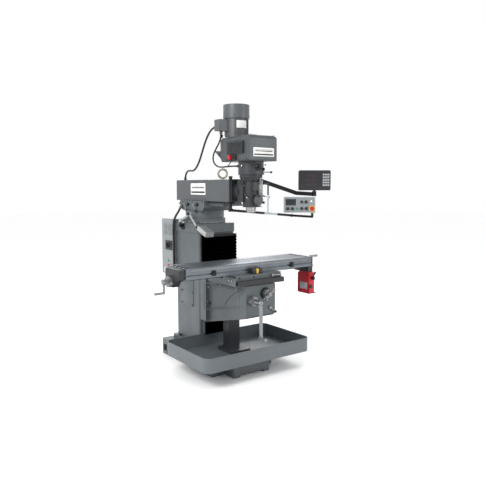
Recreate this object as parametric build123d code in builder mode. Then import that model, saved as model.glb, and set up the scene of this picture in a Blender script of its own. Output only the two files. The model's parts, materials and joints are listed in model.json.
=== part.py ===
"""Turret milling machine: an assembly of separate pieces, in millimetres, +Z up.

The origin is on the floor, at the centre of the four anchor bolts of the base.
+X is to the operator's right, -Y is the operator's side.
"""
import os
from math import cos, radians, sin

from build123d import *

os.makedirs("parts", exist_ok=True)

# ------------------------------------------------------------ driving dimensions
# clearances
slide_gap = 0.3  # between flat faces that slide on each other
fit_gap = 0.06  # radial, between a shaft and its bore
air_gap = 1.0  # between a moving piece and the face behind it
web = 25.0  # wall of the large iron castings

# base and pan
base_half_width = 340.0
base_rear_y = 470.0
base_body_front_y = -455.0
base_tongue_half_width = 200.0
base_tongue_front_y = -600.0
base_height = 151.0
anchor_x = 290.0
anchor_y = 400.0
anchor_hole_radius = 9.0
foot_cut_height = 42.0
pan_half_width = 572.0
pan_front_y = -740.0
pan_height = 122.0
pan_wall = 6.0
pan_corner_radius = 62.0
pan_drain_radius = 14.0

# column
column_half_width = 200.0
column_front_y = -40.0
column_rear_y = 395.0
column_top_z = 1327.0
column_rim_height = 86.0
column_rim_proud = 8.0
column_plinth_height = 40.0
column_plinth_proud = 32.0
way_inner_x = 110.0
way_outer_x = 170.0
way_proud = 30.0
cover_half_width = 200.0
cover_depth = 16.0
cover_sheet = 6.0

# turret and ram
turret_y = 175.0
turret_radius = 202.0
turret_ring_height = 46.0
turret_height = 119.0
turret_neck_radius = 188.0
turret_spigot_radius = 60.0
ram_half_width = 130.0
ram_height = 200.0
ram_front_y = -425.0
ram_rear_y = 500.0
ram_wall = 18.0
dovetail_depth = 42.0
dovetail_top_half = 92.0
dovetail_bottom_half = 114.0
saddle_block_half_width = 158.0
saddle_block_front_y = -62.0
saddle_block_rear_y = 372.0
saddle_block_taper = 34.0
saddle_block_height = 93.7

# head
tilt_height = 92.0  # of the tilt axis above the underside of the ram
spindle_y = -575.0
motor_y = -358.0
head_back_y = -470.0
adapter_disc_radius = 96.0
quill_radius = 45.0
quill_drop = 162.0  # of the quill's face below the tilt axis
quill_length = 330.0
nose_length = 19.0
nose_radius = 40.0
quill_housing_radius = 72.0
quill_housing_drop = 135.0
gear_housing_radius = 111.0
gear_housing_rise = 144.0
gear_housing_height = 114.0
belt_cover_height = 215.0
belt_cover_half_width = 143.0
belt_cover_front_y = -750.0
belt_cover_wall = 6.0
belt_cover_fillet = 32.0
spindle_radius = 22.0
bearing_radius = 38.0
spindle_nose_shaft_radius = 30.0
bearing_width = 34.0
spindle_pulley_radius = 82.0
motor_pulley_radius = 52.0
pulley_gap = 45.0
pulley_height = 56.0
belt_thickness = 5.0
belt_width = 44.0

# motor
motor_radius = 104.0
motor_height = 167.0
cowl_radius = 117.0
cowl_height = 120.0
cowl_wall = 3.0
stator_bore_radius = 72.0
motor_shaft_radius = 19.0

# knee, saddle and table
knee_half_width = 160.0
knee_front_y = -720.0
knee_top_z = 830.0
knee_front_bottom_z = 543.0
knee_rear_bottom_z = 398.0
knee_wall = 26.0
knee_screw_y = -275.0
knee_screw_radius = 18.0
knee_gear_radius = 68.0
knee_shaft_x = -100.0
knee_shaft_z = 703.0
post_half_width = 60.0
post_half_depth = 54.0
post_top_z = 560.0
post_foot_height = 26.0
cross_x = 45.0
cross_z = 752.0
cross_radius = 14.0
saddle_half_width = 245.0
saddle_front_y = -695.0
saddle_rear_y = -256.0
saddle_top_z = 923.0
table_y = -470.0
table_length = 1372.0
table_width = 305.0
table_thickness = 91.0
table_way_half = 104.0
table_way_height = 22.0
table_way_undercut = 12.0
slot_width = 16.0
slot_foot_width = 28.0
slot_foot_height = 12.0
slot_neck_height = 14.0
slot_pitch = 64.0
lead_radius = 16.0
lead_drop = 20.0
cross_travel_forward = 254.0
cross_travel_back = 152.4

# worked out from the values above
pan_rear_y = column_front_y - 2.0
pan_floor_z = base_height + pan_wall
pan_top_z = base_height + pan_height
table_top_z = saddle_top_z + table_thickness
lead_z = saddle_top_z - lead_drop
table_half = table_length / 2
table_front_y = table_y - table_width / 2
table_rear_y = table_y + table_width / 2
column_way_y = column_front_y - way_proud
knee_rear_y = column_way_y - slide_gap
saddle_bottom_z = knee_top_z + slide_gap
turret_bottom_z = column_top_z + slide_gap
turret_top_z = turret_bottom_z + turret_height
ram_bottom_z = turret_top_z + saddle_block_height
ram_top_z = ram_bottom_z + ram_height
tilt_z = ram_bottom_z + tilt_height
quill_bottom_z = tilt_z - quill_drop
nose_bottom_z = quill_bottom_z - nose_length
quill_housing_bottom_z = tilt_z - quill_housing_drop
gear_housing_bottom_z = tilt_z + gear_housing_rise
belt_cover_bottom_z = gear_housing_bottom_z + gear_housing_height
belt_cover_top_z = belt_cover_bottom_z + belt_cover_height
pulley_bottom_z = belt_cover_bottom_z + pulley_gap
motor_top_z = belt_cover_top_z + motor_height
cowl_top_z = motor_top_z + cowl_height
dovetail_bottom_z = ram_bottom_z - dovetail_depth


# ------------------------------------------------------------ shared shapes
def block(x, y, z, mode=Mode.ADD):
    """Box between two limits along each axis."""
    with Locations((sum(x) / 2, sum(y) / 2, sum(z) / 2)):
        Box(x[1] - x[0], y[1] - y[0], z[1] - z[0], mode=mode)


def rod(start, end, radius, mode=Mode.ADD, tip_radius=None):
    """Round bar from one point to another, tapered when a tip radius is given."""
    run = Vector(*end) - Vector(*start)
    with BuildSketch(Plane(origin=start, z_dir=run)) as root:
        Circle(radius)
    if tip_radius is None:
        extrude(root.sketch, amount=run.length, dir=run, mode=mode)
    else:
        with BuildSketch(Plane(origin=end, z_dir=run)) as tip:
            Circle(tip_radius)
        loft([root.sketch.face(), tip.sketch.face()], mode=mode)


def ball(centre, radius):
    """Ball knob."""
    with Locations(centre):
        Sphere(radius)


def bar(start, end, width, height, mode=Mode.ADD):
    """Rectangular bar from one point to another, its height upright."""
    run = Vector(*end) - Vector(*start)
    across = run.cross(Vector(0, 0, 1))
    with BuildSketch(Plane(origin=start, x_dir=across, z_dir=run)) as section:
        Rectangle(width, height)
    extrude(section.sketch, amount=run.length, dir=run, mode=mode)


def profile_yz(points, x_low, x_high, mode=Mode.ADD):
    """Prism along X with an outline given as (y, z) points."""
    with BuildSketch(Plane.YZ.offset(x_low)) as outline:
        with BuildLine():
            Polyline(*points, close=True)
        make_face()
    extrude(outline.sketch, amount=x_high - x_low, mode=mode)


def profile_xz(points, y_low, y_high, mode=Mode.ADD):
    """Prism along Y with an outline given as (x, z) points."""
    with BuildSketch(Plane.XZ.offset(-y_low)) as outline:
        with BuildLine():
            Polyline(*points, close=True)
        make_face()
    extrude(outline.sketch, amount=y_low - y_high, mode=mode)


def tube_along(points, radius):
    """Cable of round section whose bends are arcs as large as their runs allow."""
    knots = [Vector(*point) for point in points]
    radii = []
    for before, corner, after in zip(knots, knots[1:], knots[2:]):
        arriving = corner - before
        leaving = after - corner
        half_turn = radians(arriving.get_angle(leaving)) / 2
        shorter = min(arriving.length, leaving.length)
        radii.append(0.45 * shorter * cos(half_turn) / sin(half_turn))
    print("bend radii", [round(value) for value in radii])
    with BuildLine() as path:
        FilletPolyline(*points, radius=radii)
    with BuildSketch(Plane(origin=path.line @ 0, z_dir=path.line % 0)) as section:
        Circle(radius)
    sweep(section.sketch, path=path.line)


def rounded_block(x, y, z, radius, mode=Mode.ADD):
    """Box with rounded upright edges."""
    with BuildSketch(Plane.XY.offset(z[0])) as outline:
        with Locations((sum(x) / 2, sum(y) / 2)):
            RectangleRounded(x[1] - x[0], y[1] - y[0], radius)
    extrude(outline.sketch, amount=z[1] - z[0], mode=mode)


def hex_bolt(head_base, direction, head_radius, head_height, shank_radius, shank_length):
    """Hexagon head bolt: its head stands on a face and its shank goes the other way."""
    with BuildSketch(Plane(origin=head_base, z_dir=direction)) as head:
        RegularPolygon(head_radius, 6)
    extrude(head.sketch, amount=head_height, dir=Vector(*direction))
    shank_end = Vector(*head_base) - Vector(*direction) * shank_length
    rod(head_base, tuple(shank_end), shank_radius)


# ============================================================ fixed frame
# ------------------------------------------------------------ base_casting
anchor_points = [(x, y) for x in (-anchor_x, anchor_x) for y in (-anchor_y, anchor_y)]
foot_pad = 96.0
foot_thickness = 34.0
plinth_bolt_radius = 8.0
plinth_bolt_hole = plinth_bolt_radius + 0.2
plinth_bolt_x = column_half_width + column_plinth_proud / 2
plinth_bolt_ys = [column_front_y + 60 + 145 * step for step in range(3)]
knee_screw_well = knee_screw_radius + 5.0

with BuildPart() as base_casting:
    rounded_block(
        (-base_half_width, base_half_width), (base_body_front_y, base_rear_y), (0, base_height), 24
    )
    rounded_block(
        (-base_tongue_half_width, base_tongue_half_width),
        (base_tongue_front_y, base_body_front_y + 60),
        (0, base_height),
        20,
    )
    block(
        (-base_half_width + web, base_half_width - web),
        (base_body_front_y + web, base_rear_y - web),
        (0, base_height - web),
        Mode.SUBTRACT,
    )
    block(
        (-base_tongue_half_width + web, base_tongue_half_width - web),
        (base_tongue_front_y + web, base_body_front_y + web),
        (0, base_height - web),
        Mode.SUBTRACT,
    )
    foot_y_gap = anchor_y - foot_pad / 2
    block(
        (-base_half_width, base_half_width),
        (-foot_y_gap + 60, foot_y_gap),
        (0, foot_cut_height),
        Mode.SUBTRACT,
    )
    block((-base_tongue_half_width + 70, base_tongue_half_width - 70), (base_tongue_front_y, 0),
          (0, foot_cut_height / 2), Mode.SUBTRACT)
    for anchor in anchor_points:
        inward = -1 if anchor[0] > 0 else 1
        outer_x = anchor[0] - inward * (base_half_width - anchor_x - 1)
        x_limits = sorted((outer_x, anchor[0] + inward * foot_pad / 2))
        block(x_limits, (anchor[1] - foot_pad / 2, anchor[1] + foot_pad / 2), (0, foot_thickness))
        rod((*anchor, 0), (*anchor, foot_thickness), anchor_hole_radius, Mode.SUBTRACT)
        pocket = sorted((anchor[0] - inward * (base_half_width - anchor_x), anchor[0]))
        block(
            pocket,
            (anchor[1] - 32, anchor[1] + 32),
            (foot_thickness, base_height - 2 * web),
            Mode.SUBTRACT,
        )
    rod(
        (0, knee_screw_y, base_height - web),
        (0, knee_screw_y, base_height),
        knee_screw_well,
        Mode.SUBTRACT,
    )
    for side in (-1, 1):
        for bolt_y in plinth_bolt_ys:
            bolt_axis = (side * plinth_bolt_x, bolt_y)
            rod((*bolt_axis, base_height - web), (*bolt_axis, base_height), plinth_bolt_hole, Mode.SUBTRACT)
base_casting.part.label = "base_casting"
export_step(base_casting.part, "parts/base_casting.step")

# ------------------------------------------------------------ chip_pan
with BuildPart() as chip_pan:
    rounded_block(
        (-pan_half_width, pan_half_width),
        (pan_front_y, pan_rear_y),
        (base_height, pan_top_z),
        pan_corner_radius,
    )
    rounded_block(
        (-pan_half_width + pan_wall, pan_half_width - pan_wall),
        (pan_front_y + pan_wall, pan_rear_y - pan_wall),
        (pan_floor_z, pan_top_z),
        pan_corner_radius - pan_wall,
        Mode.SUBTRACT,
    )
    rod((0, knee_screw_y, base_height), (0, knee_screw_y, pan_floor_z), knee_screw_well, Mode.SUBTRACT)
    drain = (pan_half_width - 90, pan_rear_y - 90)
    rod((*drain, base_height), (*drain, pan_floor_z), pan_drain_radius, Mode.SUBTRACT)
chip_pan.part.label = "chip_pan"
export_step(chip_pan.part, "parts/chip_pan.step")

# ------------------------------------------------------------ column
rim_bottom_z = column_top_z - column_rim_height
column_inner = column_half_width - web
with BuildPart() as column:
    rounded_block(
        (-column_half_width, column_half_width),
        (column_front_y, column_rear_y),
        (base_height, column_top_z),
        20,
    )
    rounded_block(
        (-column_half_width - column_rim_proud, column_half_width + column_rim_proud),
        (column_front_y - column_rim_proud, column_rear_y + column_rim_proud),
        (rim_bottom_z, column_top_z),
        26,
    )
    rounded_block(
        (-column_half_width - column_plinth_proud, column_half_width + column_plinth_proud),
        (column_front_y, column_rear_y + column_plinth_proud),
        (base_height, base_height + column_plinth_height),
        14,
    )
    block(
        (-column_inner, column_inner),
        (column_front_y + web, column_rear_y - web),
        (base_height, column_top_z - 1.6 * web),
        Mode.SUBTRACT,
    )
    for side in (-1, 1):
        way_x = sorted((side * way_inner_x, side * way_outer_x))
        block(way_x, (column_way_y, column_front_y), (pan_top_z + 12, rim_bottom_z - 18))
        for bolt_y in plinth_bolt_ys:
            bolt_axis = (side * plinth_bolt_x, bolt_y)
            rod(
                (*bolt_axis, base_height),
                (*bolt_axis, base_height + column_plinth_height),
                plinth_bolt_hole,
                Mode.SUBTRACT,
            )
    rod(
        (0, turret_y, column_top_z),
        (0, turret_y, column_top_z + turret_ring_height / 2),
        turret_spigot_radius,
    )
column.part.label = "column"
export_step(column.part, "parts/column.step")

# ------------------------------------------------------------ column_bolts
with BuildPart() as column_bolts:
    for side in (-1, 1):
        for bolt_y in plinth_bolt_ys:
            hex_bolt(
                (side * plinth_bolt_x, bolt_y, base_height + column_plinth_height),
                (0, 0, 1),
                14,
                12,
                plinth_bolt_radius,
                column_plinth_height + web - 3,
            )
column_bolts.part.label = "column_bolts"
export_step(column_bolts.part, "parts/column_bolts.step")

# ------------------------------------------------------------ knee_screw_post
post_foot_half_width = 105.0
post_nut_height = 60.0
with BuildPart() as knee_screw_post:
    rounded_block(
        (-post_foot_half_width, post_foot_half_width),
        (knee_screw_y - 165, knee_screw_y + 75),
        (pan_floor_z, pan_floor_z + post_foot_height),
        12,
    )
    rounded_block(
        (-post_half_width, post_half_width),
        (knee_screw_y - post_half_depth, knee_screw_y + post_half_depth),
        (pan_floor_z, post_top_z),
        8,
    )
    rod(
        (0, knee_screw_y, pan_floor_z),
        (0, knee_screw_y, post_top_z - post_nut_height),
        knee_screw_well,
        Mode.SUBTRACT,
    )
    rod(
        (0, knee_screw_y, post_top_z - post_nut_height),
        (0, knee_screw_y, post_top_z),
        knee_screw_radius + fit_gap,
        Mode.SUBTRACT,
    )
knee_screw_post.part.label = "knee_screw_post"
export_step(knee_screw_post.part, "parts/knee_screw_post.step")

# ------------------------------------------------------------ electrical_cabinet
cabinet_half_width = 230.0
cabinet_front_y = 415.0
cabinet_rear_y = 620.0
cabinet_bottom_z = 790.0
cabinet_top_z = 1352.0
cabinet_sheet = 3.0
switch_y = 490.0
switch_z = 1087.0
conduit_radius = 11.0
conduit_x = -227.0
conduit_y = 402.0
conduit_bottom_z = 886.0
with BuildPart() as electrical_cabinet:
    block(
        (-cabinet_half_width, cabinet_half_width),
        (cabinet_front_y, cabinet_rear_y),
        (cabinet_bottom_z, cabinet_top_z),
    )
    block(
        (-cabinet_half_width + cabinet_sheet, cabinet_half_width - cabinet_sheet),
        (cabinet_front_y + cabinet_sheet, cabinet_rear_y),
        (cabinet_bottom_z + cabinet_sheet, cabinet_top_z - cabinet_sheet),
        Mode.SUBTRACT,
    )
    for rail_z in (cabinet_bottom_z + 60, rim_bottom_z - 80):
        block((-150, 150), (column_rear_y, cabinet_front_y), (rail_z, rail_z + 40))
    # drive unit, transformer and contactors on the back plate
    plate_y = cabinet_front_y + cabinet_sheet
    block((-150, 20), (plate_y, plate_y + 140), (1030, 1290))
    block((70, 190), (plate_y, plate_y + 110), (830, 950))
    for contactor in range(4):
        left = 45 + contactor * 38
        block((left, left + 32), (plate_y, plate_y + 70), (1120, 1200))
    # switch plate on the left side and the elbow that takes the conduit
    block(
        (-cabinet_half_width - 6, -cabinet_half_width),
        (switch_y - 60, switch_y + 60),
        (switch_z - 48, switch_z + 48),
    )
    block(
        (conduit_x - 15, conduit_x + 15),
        (conduit_y - 14, cabinet_front_y),
        (conduit_bottom_z - 36, conduit_bottom_z),
    )
electrical_cabinet.part.label = "electrical_cabinet"
export_step(electrical_cabinet.part, "parts/electrical_cabinet.step")

# ------------------------------------------------------------ cabinet_door
door_gap = 1.0
door_depth = 20.0
with BuildPart() as cabinet_door:
    door_y = cabinet_rear_y + door_gap
    block(
        (-cabinet_half_width + 2, cabinet_half_width - 2),
        (door_y, door_y + door_depth),
        (cabinet_bottom_z + 2, cabinet_top_z - 2),
    )
    block(
        (-cabinet_half_width + 12, cabinet_half_width - 12),
        (door_y, door_y + door_depth - cabinet_sheet),
        (cabinet_bottom_z + 12, cabinet_top_z - 12),
        Mode.SUBTRACT,
    )
    for latch_z in (930, 1210):
        rod((-200, door_y + door_depth, latch_z), (-200, door_y + door_depth + 9, latch_z), 13)
cabinet_door.part.label = "cabinet_door"
export_step(cabinet_door.part, "parts/cabinet_door.step")

# ------------------------------------------------------------ main_switch_knob
with BuildPart() as main_switch_knob:
    knob_x = -cabinet_half_width - 6 - slide_gap
    rod((knob_x, switch_y, switch_z), (knob_x - 12, switch_y, switch_z), 27)
    block((knob_x - 30, knob_x - 12), (switch_y - 7, switch_y + 7), (switch_z - 24, switch_z + 24))
main_switch_knob.part.label = "main_switch_knob"
export_step(main_switch_knob.part, "parts/main_switch_knob.step")

# ------------------------------------------------------------ column_way_cover
cover_front_y = column_way_y - cover_depth
cover_bottom_z = knee_top_z + 6
cover_top_z = rim_bottom_z - 16
with BuildPart() as column_way_cover:
    block(
        (-cover_half_width, cover_half_width),
        (cover_front_y, column_front_y - 1),
        (cover_bottom_z, cover_top_z),
    )
    block(
        (-cover_half_width + cover_sheet, cover_half_width - cover_sheet),
        (cover_front_y + cover_sheet, column_front_y - 1),
        (cover_bottom_z, cover_top_z),
        Mode.SUBTRACT,
    )
column_way_cover.part.label = "column_way_cover"
export_step(column_way_cover.part, "parts/column_way_cover.step")

# ------------------------------------------------------------ lower_way_cover
lower_cover_half_width = 166.0
with BuildPart() as lower_way_cover:
    block(
        (-lower_cover_half_width, lower_cover_half_width),
        (cover_front_y, cover_front_y + cover_sheet),
        (pan_top_z + 4, knee_rear_bottom_z - 6),
    )
lower_way_cover.part.label = "lower_way_cover"
export_step(lower_way_cover.part, "parts/lower_way_cover.step")

# ============================================================ work light
light_x = -238.0
light_base_y = 245.0
light_post_radius = 8.0
light_plate = 8.0
light_arm_top_z = column_top_z - 17
light_swivel_z = column_top_z + 23
light_elbow = (light_x, 57.0, column_top_z + 93)
light_wrist = (light_x, -80.0, column_top_z - 24)

# ------------------------------------------------------------ light_base
with BuildPart() as light_base:
    rim_x = -column_half_width - column_rim_proud
    block(
        (rim_x - light_plate, rim_x),
        (light_base_y - 30, light_base_y + 30),
        (column_top_z - 65, column_top_z - 11),
    )
    block(
        (light_x - 14, rim_x - light_plate),
        (light_base_y - 14, light_base_y + 14),
        (column_top_z - 42, light_arm_top_z),
    )
    rod(
        (light_x, light_base_y, light_arm_top_z),
        (light_x, light_base_y, light_swivel_z + 14),
        light_post_radius,
    )
light_base.part.label = "light_base"
export_step(light_base.part, "parts/light_base.step")

# ------------------------------------------------------------ light_arm
with BuildPart() as light_arm:
    rod((light_x, light_base_y, light_swivel_z - 16), (light_x, light_base_y, light_swivel_z + 12), 17)
    bar(
        (light_x, light_base_y - 12, light_swivel_z),
        (light_x, light_elbow[1] + 12, light_elbow[2] - 4),
        10,
        20,
    )
    rod(
        (light_x, light_base_y, light_swivel_z - 16),
        (light_x, light_base_y, light_swivel_z + 15),
        light_post_radius + fit_gap,
        Mode.SUBTRACT,
    )
    rod((light_x - 6, *light_elbow[1:]), (light_x + 6, *light_elbow[1:]), 14)
light_arm.part.label = "light_arm"
export_step(light_arm.part, "parts/light_arm.step")

# ------------------------------------------------------------ light_forearm
forearm_x = light_x - 6 - slide_gap
with BuildPart() as light_forearm:
    rod((forearm_x, *light_elbow[1:]), (forearm_x - 10, *light_elbow[1:]), 14)
    bar((forearm_x - 5, *light_elbow[1:]), (forearm_x - 5, *light_wrist[1:]), 10, 18)
    rod((forearm_x, *light_wrist[1:]), (forearm_x - 10, *light_wrist[1:]), 13)
light_forearm.part.label = "light_forearm"
export_step(light_forearm.part, "parts/light_forearm.step")

# ------------------------------------------------------------ light_head
lamp_length = 150.0
lamp_width = 92.0
lamp_depth = 46.0
lamp_slope = 22.0
lamp_run = Vector(0, -cos(radians(lamp_slope)), -sin(radians(lamp_slope)))
lamp_start = Vector(*light_wrist) + Vector(26, 0, 0) + lamp_run * 20
lamp_up = Vector(0, -sin(radians(lamp_slope)), cos(radians(lamp_slope)))
with BuildPart() as light_head:
    with BuildSketch(Plane(origin=lamp_start, x_dir=(1, 0, 0), z_dir=lamp_run)) as lamp_section:
        RectangleRounded(lamp_width, lamp_depth, 10)
    extrude(amount=lamp_length)
    shade_start = lamp_start + lamp_run * 8 - lamp_up * 12
    with BuildSketch(Plane(origin=shade_start, x_dir=(1, 0, 0), z_dir=lamp_run)):
        Rectangle(lamp_width - 14, lamp_depth)
    extrude(amount=lamp_length - 16, mode=Mode.SUBTRACT)
    wrist_x = light_x - 6
    rod((wrist_x, *light_wrist[1:]), (wrist_x + 40, *light_wrist[1:]), 12)
    bar((wrist_x + 20, *light_wrist[1:]), tuple(lamp_start + Vector(-12, 0, 0) + lamp_run * 6), 16, 16)
light_head.part.label = "light_head"
export_step(light_head.part, "parts/light_head.step")

# ============================================================ turret
# ------------------------------------------------------------ turret_base
with BuildPart() as turret_base:
    rod((0, turret_y, turret_bottom_z), (0, turret_y, turret_bottom_z + turret_ring_height), turret_radius)
    rod(
        (0, turret_y, turret_bottom_z + turret_ring_height),
        (0, turret_y, turret_top_z),
        turret_neck_radius,
    )
    rod(
        (0, turret_y, turret_bottom_z),
        (0, turret_y, turret_bottom_z + turret_ring_height),
        turret_spigot_radius + fit_gap,
        Mode.SUBTRACT,
    )
turret_base.part.label = "turret_base"
export_step(turret_base.part, "parts/turret_base.step")

# ------------------------------------------------------------ ram_saddle
saddle_block_top_z = ram_bottom_z - slide_gap
clamp_bolt_z = ram_bottom_z - 37
clamp_bolt_ys = (56.0, 224.0)
clamp_bolt_radius = 9.0
clamp_bolt_depth = 30.0
conduit_elbow = (-168.0, 340.0, ram_bottom_z - 50)
conduit_exit = (-178.0, 350.0, ram_bottom_z - 77)
with BuildPart() as ram_saddle:
    profile_yz(
        [
            (saddle_block_front_y + saddle_block_taper, turret_top_z),
            (saddle_block_front_y, turret_top_z + saddle_block_taper),
            (saddle_block_front_y, saddle_block_top_z),
            (saddle_block_rear_y, saddle_block_top_z),
            (saddle_block_rear_y, turret_top_z + saddle_block_taper),
            (saddle_block_rear_y - saddle_block_taper, turret_top_z),
        ],
        -saddle_block_half_width,
        saddle_block_half_width,
    )
    channel_bottom_z = dovetail_bottom_z - slide_gap
    profile_xz(
        [
            (-dovetail_bottom_half - 2 * slide_gap, channel_bottom_z),
            (dovetail_bottom_half + 2 * slide_gap, channel_bottom_z),
            (dovetail_top_half + 2 * slide_gap, saddle_block_top_z),
            (-dovetail_top_half - 2 * slide_gap, saddle_block_top_z),
        ],
        saddle_block_front_y,
        saddle_block_rear_y,
        Mode.SUBTRACT,
    )
    for side in (-1, 1):
        for bolt_y in clamp_bolt_ys:
            rod(
                (side * saddle_block_half_width, bolt_y, clamp_bolt_z),
                (side * (saddle_block_half_width - clamp_bolt_depth), bolt_y, clamp_bolt_z),
                clamp_bolt_radius,
                Mode.SUBTRACT,
            )
    # elbow fitting that the conduit leaves by
    ball(conduit_elbow, 15)
    rod((-saddle_block_half_width, *conduit_elbow[1:]), conduit_elbow, 15)
    rod(conduit_elbow, conduit_exit, 14)
ram_saddle.part.label = "ram_saddle"
export_step(ram_saddle.part, "parts/ram_saddle.step")

# ------------------------------------------------------------ turret_bolts
with BuildPart() as turret_bolts:
    for side in (-1, 1):
        for bolt_y in clamp_bolt_ys:
            hex_bolt(
                (side * saddle_block_half_width, bolt_y, clamp_bolt_z),
                (side, 0, 0),
                15,
                13,
                clamp_bolt_radius - 0.1,
                clamp_bolt_depth - 1,
            )
turret_bolts.part.label = "turret_bolts"
export_step(turret_bolts.part, "parts/turret_bolts.step")

# ------------------------------------------------------------ ram
dovetail_front_y = -300.0
dovetail_rear_y = 490.0
eyebolt_y = -138.0
eyebolt_thread_radius = 10.0
eyebolt_thread_length = 26.0
with BuildPart() as ram:
    block((-ram_half_width, ram_half_width), (ram_front_y, ram_rear_y), (ram_bottom_z, ram_top_z))
    fillet(ram.edges().filter_by(Axis.Y).group_by(Axis.Z)[-1], 12)
    block(
        (-ram_half_width + ram_wall, ram_half_width - ram_wall),
        (ram_front_y, ram_rear_y - 200),
        (ram_bottom_z + web, ram_top_z - ram_wall),
        Mode.SUBTRACT,
    )
    profile_xz(
        [
            (-dovetail_bottom_half, dovetail_bottom_z),
            (dovetail_bottom_half, dovetail_bottom_z),
            (dovetail_top_half, ram_bottom_z),
            (-dovetail_top_half, ram_bottom_z),
        ],
        dovetail_front_y,
        dovetail_rear_y,
    )
    rod((0, eyebolt_y, ram_top_z - ram_wall - 20), (0, eyebolt_y, ram_top_z), 24)
    rod(
        (0, eyebolt_y, ram_top_z - eyebolt_thread_length),
        (0, eyebolt_y, ram_top_z),
        eyebolt_thread_radius + 0.1,
        Mode.SUBTRACT,
    )
ram.part.label = "ram"
export_step(ram.part, "parts/ram.step")

# ------------------------------------------------------------ head_adapter
adapter_plate = 22.0
tilt_spigot_radius = 40.0
tilt_spigot_length = 14.0
with BuildPart() as head_adapter:
    block((-118, 118), (ram_front_y - adapter_plate, ram_front_y), (ram_bottom_z + 7, ram_top_z - 10))
    rod((0, ram_front_y - adapter_plate, tilt_z), (0, head_back_y, tilt_z), adapter_disc_radius)
    rod((0, head_back_y, tilt_z), (0, head_back_y - tilt_spigot_length, tilt_z), tilt_spigot_radius)
head_adapter.part.label = "head_adapter"
export_step(head_adapter.part, "parts/head_adapter.step")

# ------------------------------------------------------------ eyebolt
eye_ring_radius = 40.0
eye_wire_radius = 10.0
eye_centre_z = ram_top_z + eye_ring_radius + eye_wire_radius + 5
eye_turn = 36.0
with BuildPart() as eyebolt:
    rod((0, eyebolt_y, ram_top_z), (0, eyebolt_y, ram_top_z + 12), 22, tip_radius=14)
    rod(
        (0, eyebolt_y, ram_top_z - eyebolt_thread_length + 1),
        (0, eyebolt_y, ram_top_z),
        eyebolt_thread_radius,
    )
    eye_normal = (-sin(radians(eye_turn)), -cos(radians(eye_turn)), 0)
    with Locations(Plane(origin=(0, eyebolt_y, eye_centre_z), z_dir=eye_normal)):
        Torus(eye_ring_radius, eye_wire_radius)
eyebolt.part.label = "eyebolt"
export_step(eyebolt.part, "parts/eyebolt.step")

# ============================================================ display and pendant arms
dro_pivot = (109.0, -370.0)
dro_arm_z = ram_top_z + 32
dro_elbow = (523.0, -580.0, ram_top_z - 125)
dro_end = (655.0, -680.0, ram_top_z - 135)
arm_post_radius = 13.0
dro_foot_thickness = 6.0
pendant_pivot = (-92.0, -400.0)
pendant_arm_z = ram_bottom_z - 75
pendant_elbow = (530.0, -510.0, ram_bottom_z - 135)
pendant_end = (582.0, -734.0, ram_bottom_z - 139)
pendant_tube_radius = 11.0
pendant_hook_z = ram_bottom_z - 108
screen_turn = 36.0

# ------------------------------------------------------------ arm_brackets
with BuildPart() as arm_brackets:
    block(
        (dro_pivot[0] - 18, ram_half_width - 14),
        (dro_pivot[1] - arm_post_radius - 1, dro_pivot[1] + 30),
        (ram_top_z, ram_top_z + dro_foot_thickness),
    )
    rod((*dro_pivot, ram_top_z + dro_foot_thickness), (*dro_pivot, dro_arm_z + 24), arm_post_radius)
    block(
        (pendant_pivot[0] - 26, pendant_pivot[0] + 26),
        (pendant_pivot[1] - 24, pendant_pivot[1] + 26),
        (ram_bottom_z - 14, ram_bottom_z),
    )
    rod((*pendant_pivot, ram_bottom_z - 14), (*pendant_pivot, pendant_arm_z - 12), arm_post_radius)
arm_brackets.part.label = "arm_brackets"
export_step(arm_brackets.part, "parts/arm_brackets.step")

# ------------------------------------------------------------ dro_arm
arm_hub_radius = arm_post_radius + 9.0
arm_width = 16.0
arm_height = 36.0
dro_hub_top_z = dro_end[2] + 22
with BuildPart() as dro_arm:
    rod((*dro_pivot, dro_arm_z - 12), (*dro_pivot, dro_arm_z + 22), arm_hub_radius)
    bar((*dro_pivot, dro_arm_z), dro_elbow, arm_width, arm_height)
    ball(dro_elbow, arm_height / 2)
    bar(dro_elbow, dro_end, arm_width, arm_height)
    rod((*dro_end[:2], dro_end[2] - 18), (*dro_end[:2], dro_hub_top_z), 20)
    rod(
        (*dro_pivot, dro_arm_z - 40),
        (*dro_pivot, dro_arm_z + 40),
        arm_post_radius + fit_gap,
        Mode.SUBTRACT,
    )
dro_arm.part.label = "dro_arm"
export_step(dro_arm.part, "parts/dro_arm.step")

# ------------------------------------------------------------ dro_display
dro_width = 293.0
dro_height = 184.0
dro_thickness = 46.0
dro_bottom_z = dro_end[2] + 35
screen_across = Vector(cos(radians(screen_turn)), -sin(radians(screen_turn)), 0)
screen_facing = Vector(-sin(radians(screen_turn)), -cos(radians(screen_turn)), 0)
with BuildPart() as dro_display:
    swivel_bottom_z = dro_hub_top_z + slide_gap
    rod((*dro_end[:2], swivel_bottom_z), (*dro_end[:2], dro_bottom_z + 12), 12)
    rod((*dro_end[:2], swivel_bottom_z), (*dro_end[:2], swivel_bottom_z + 6), 20)
    dro_face = Vector(*dro_end[:2], dro_bottom_z + dro_height / 2) + screen_facing * dro_thickness / 2
    with BuildSketch(Plane(origin=dro_face, x_dir=screen_across, z_dir=screen_facing)):
        RectangleRounded(dro_width, dro_height, 12)
    extrude(amount=-dro_thickness)
    with BuildSketch(Plane(origin=dro_face, x_dir=screen_across, z_dir=screen_facing)):
        with Locations((-34, 8)):
            RectangleRounded(190, 138, 5)
    extrude(amount=-3, mode=Mode.SUBTRACT)
dro_display.part.label = "dro_display"
export_step(dro_display.part, "parts/dro_display.step")

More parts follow.
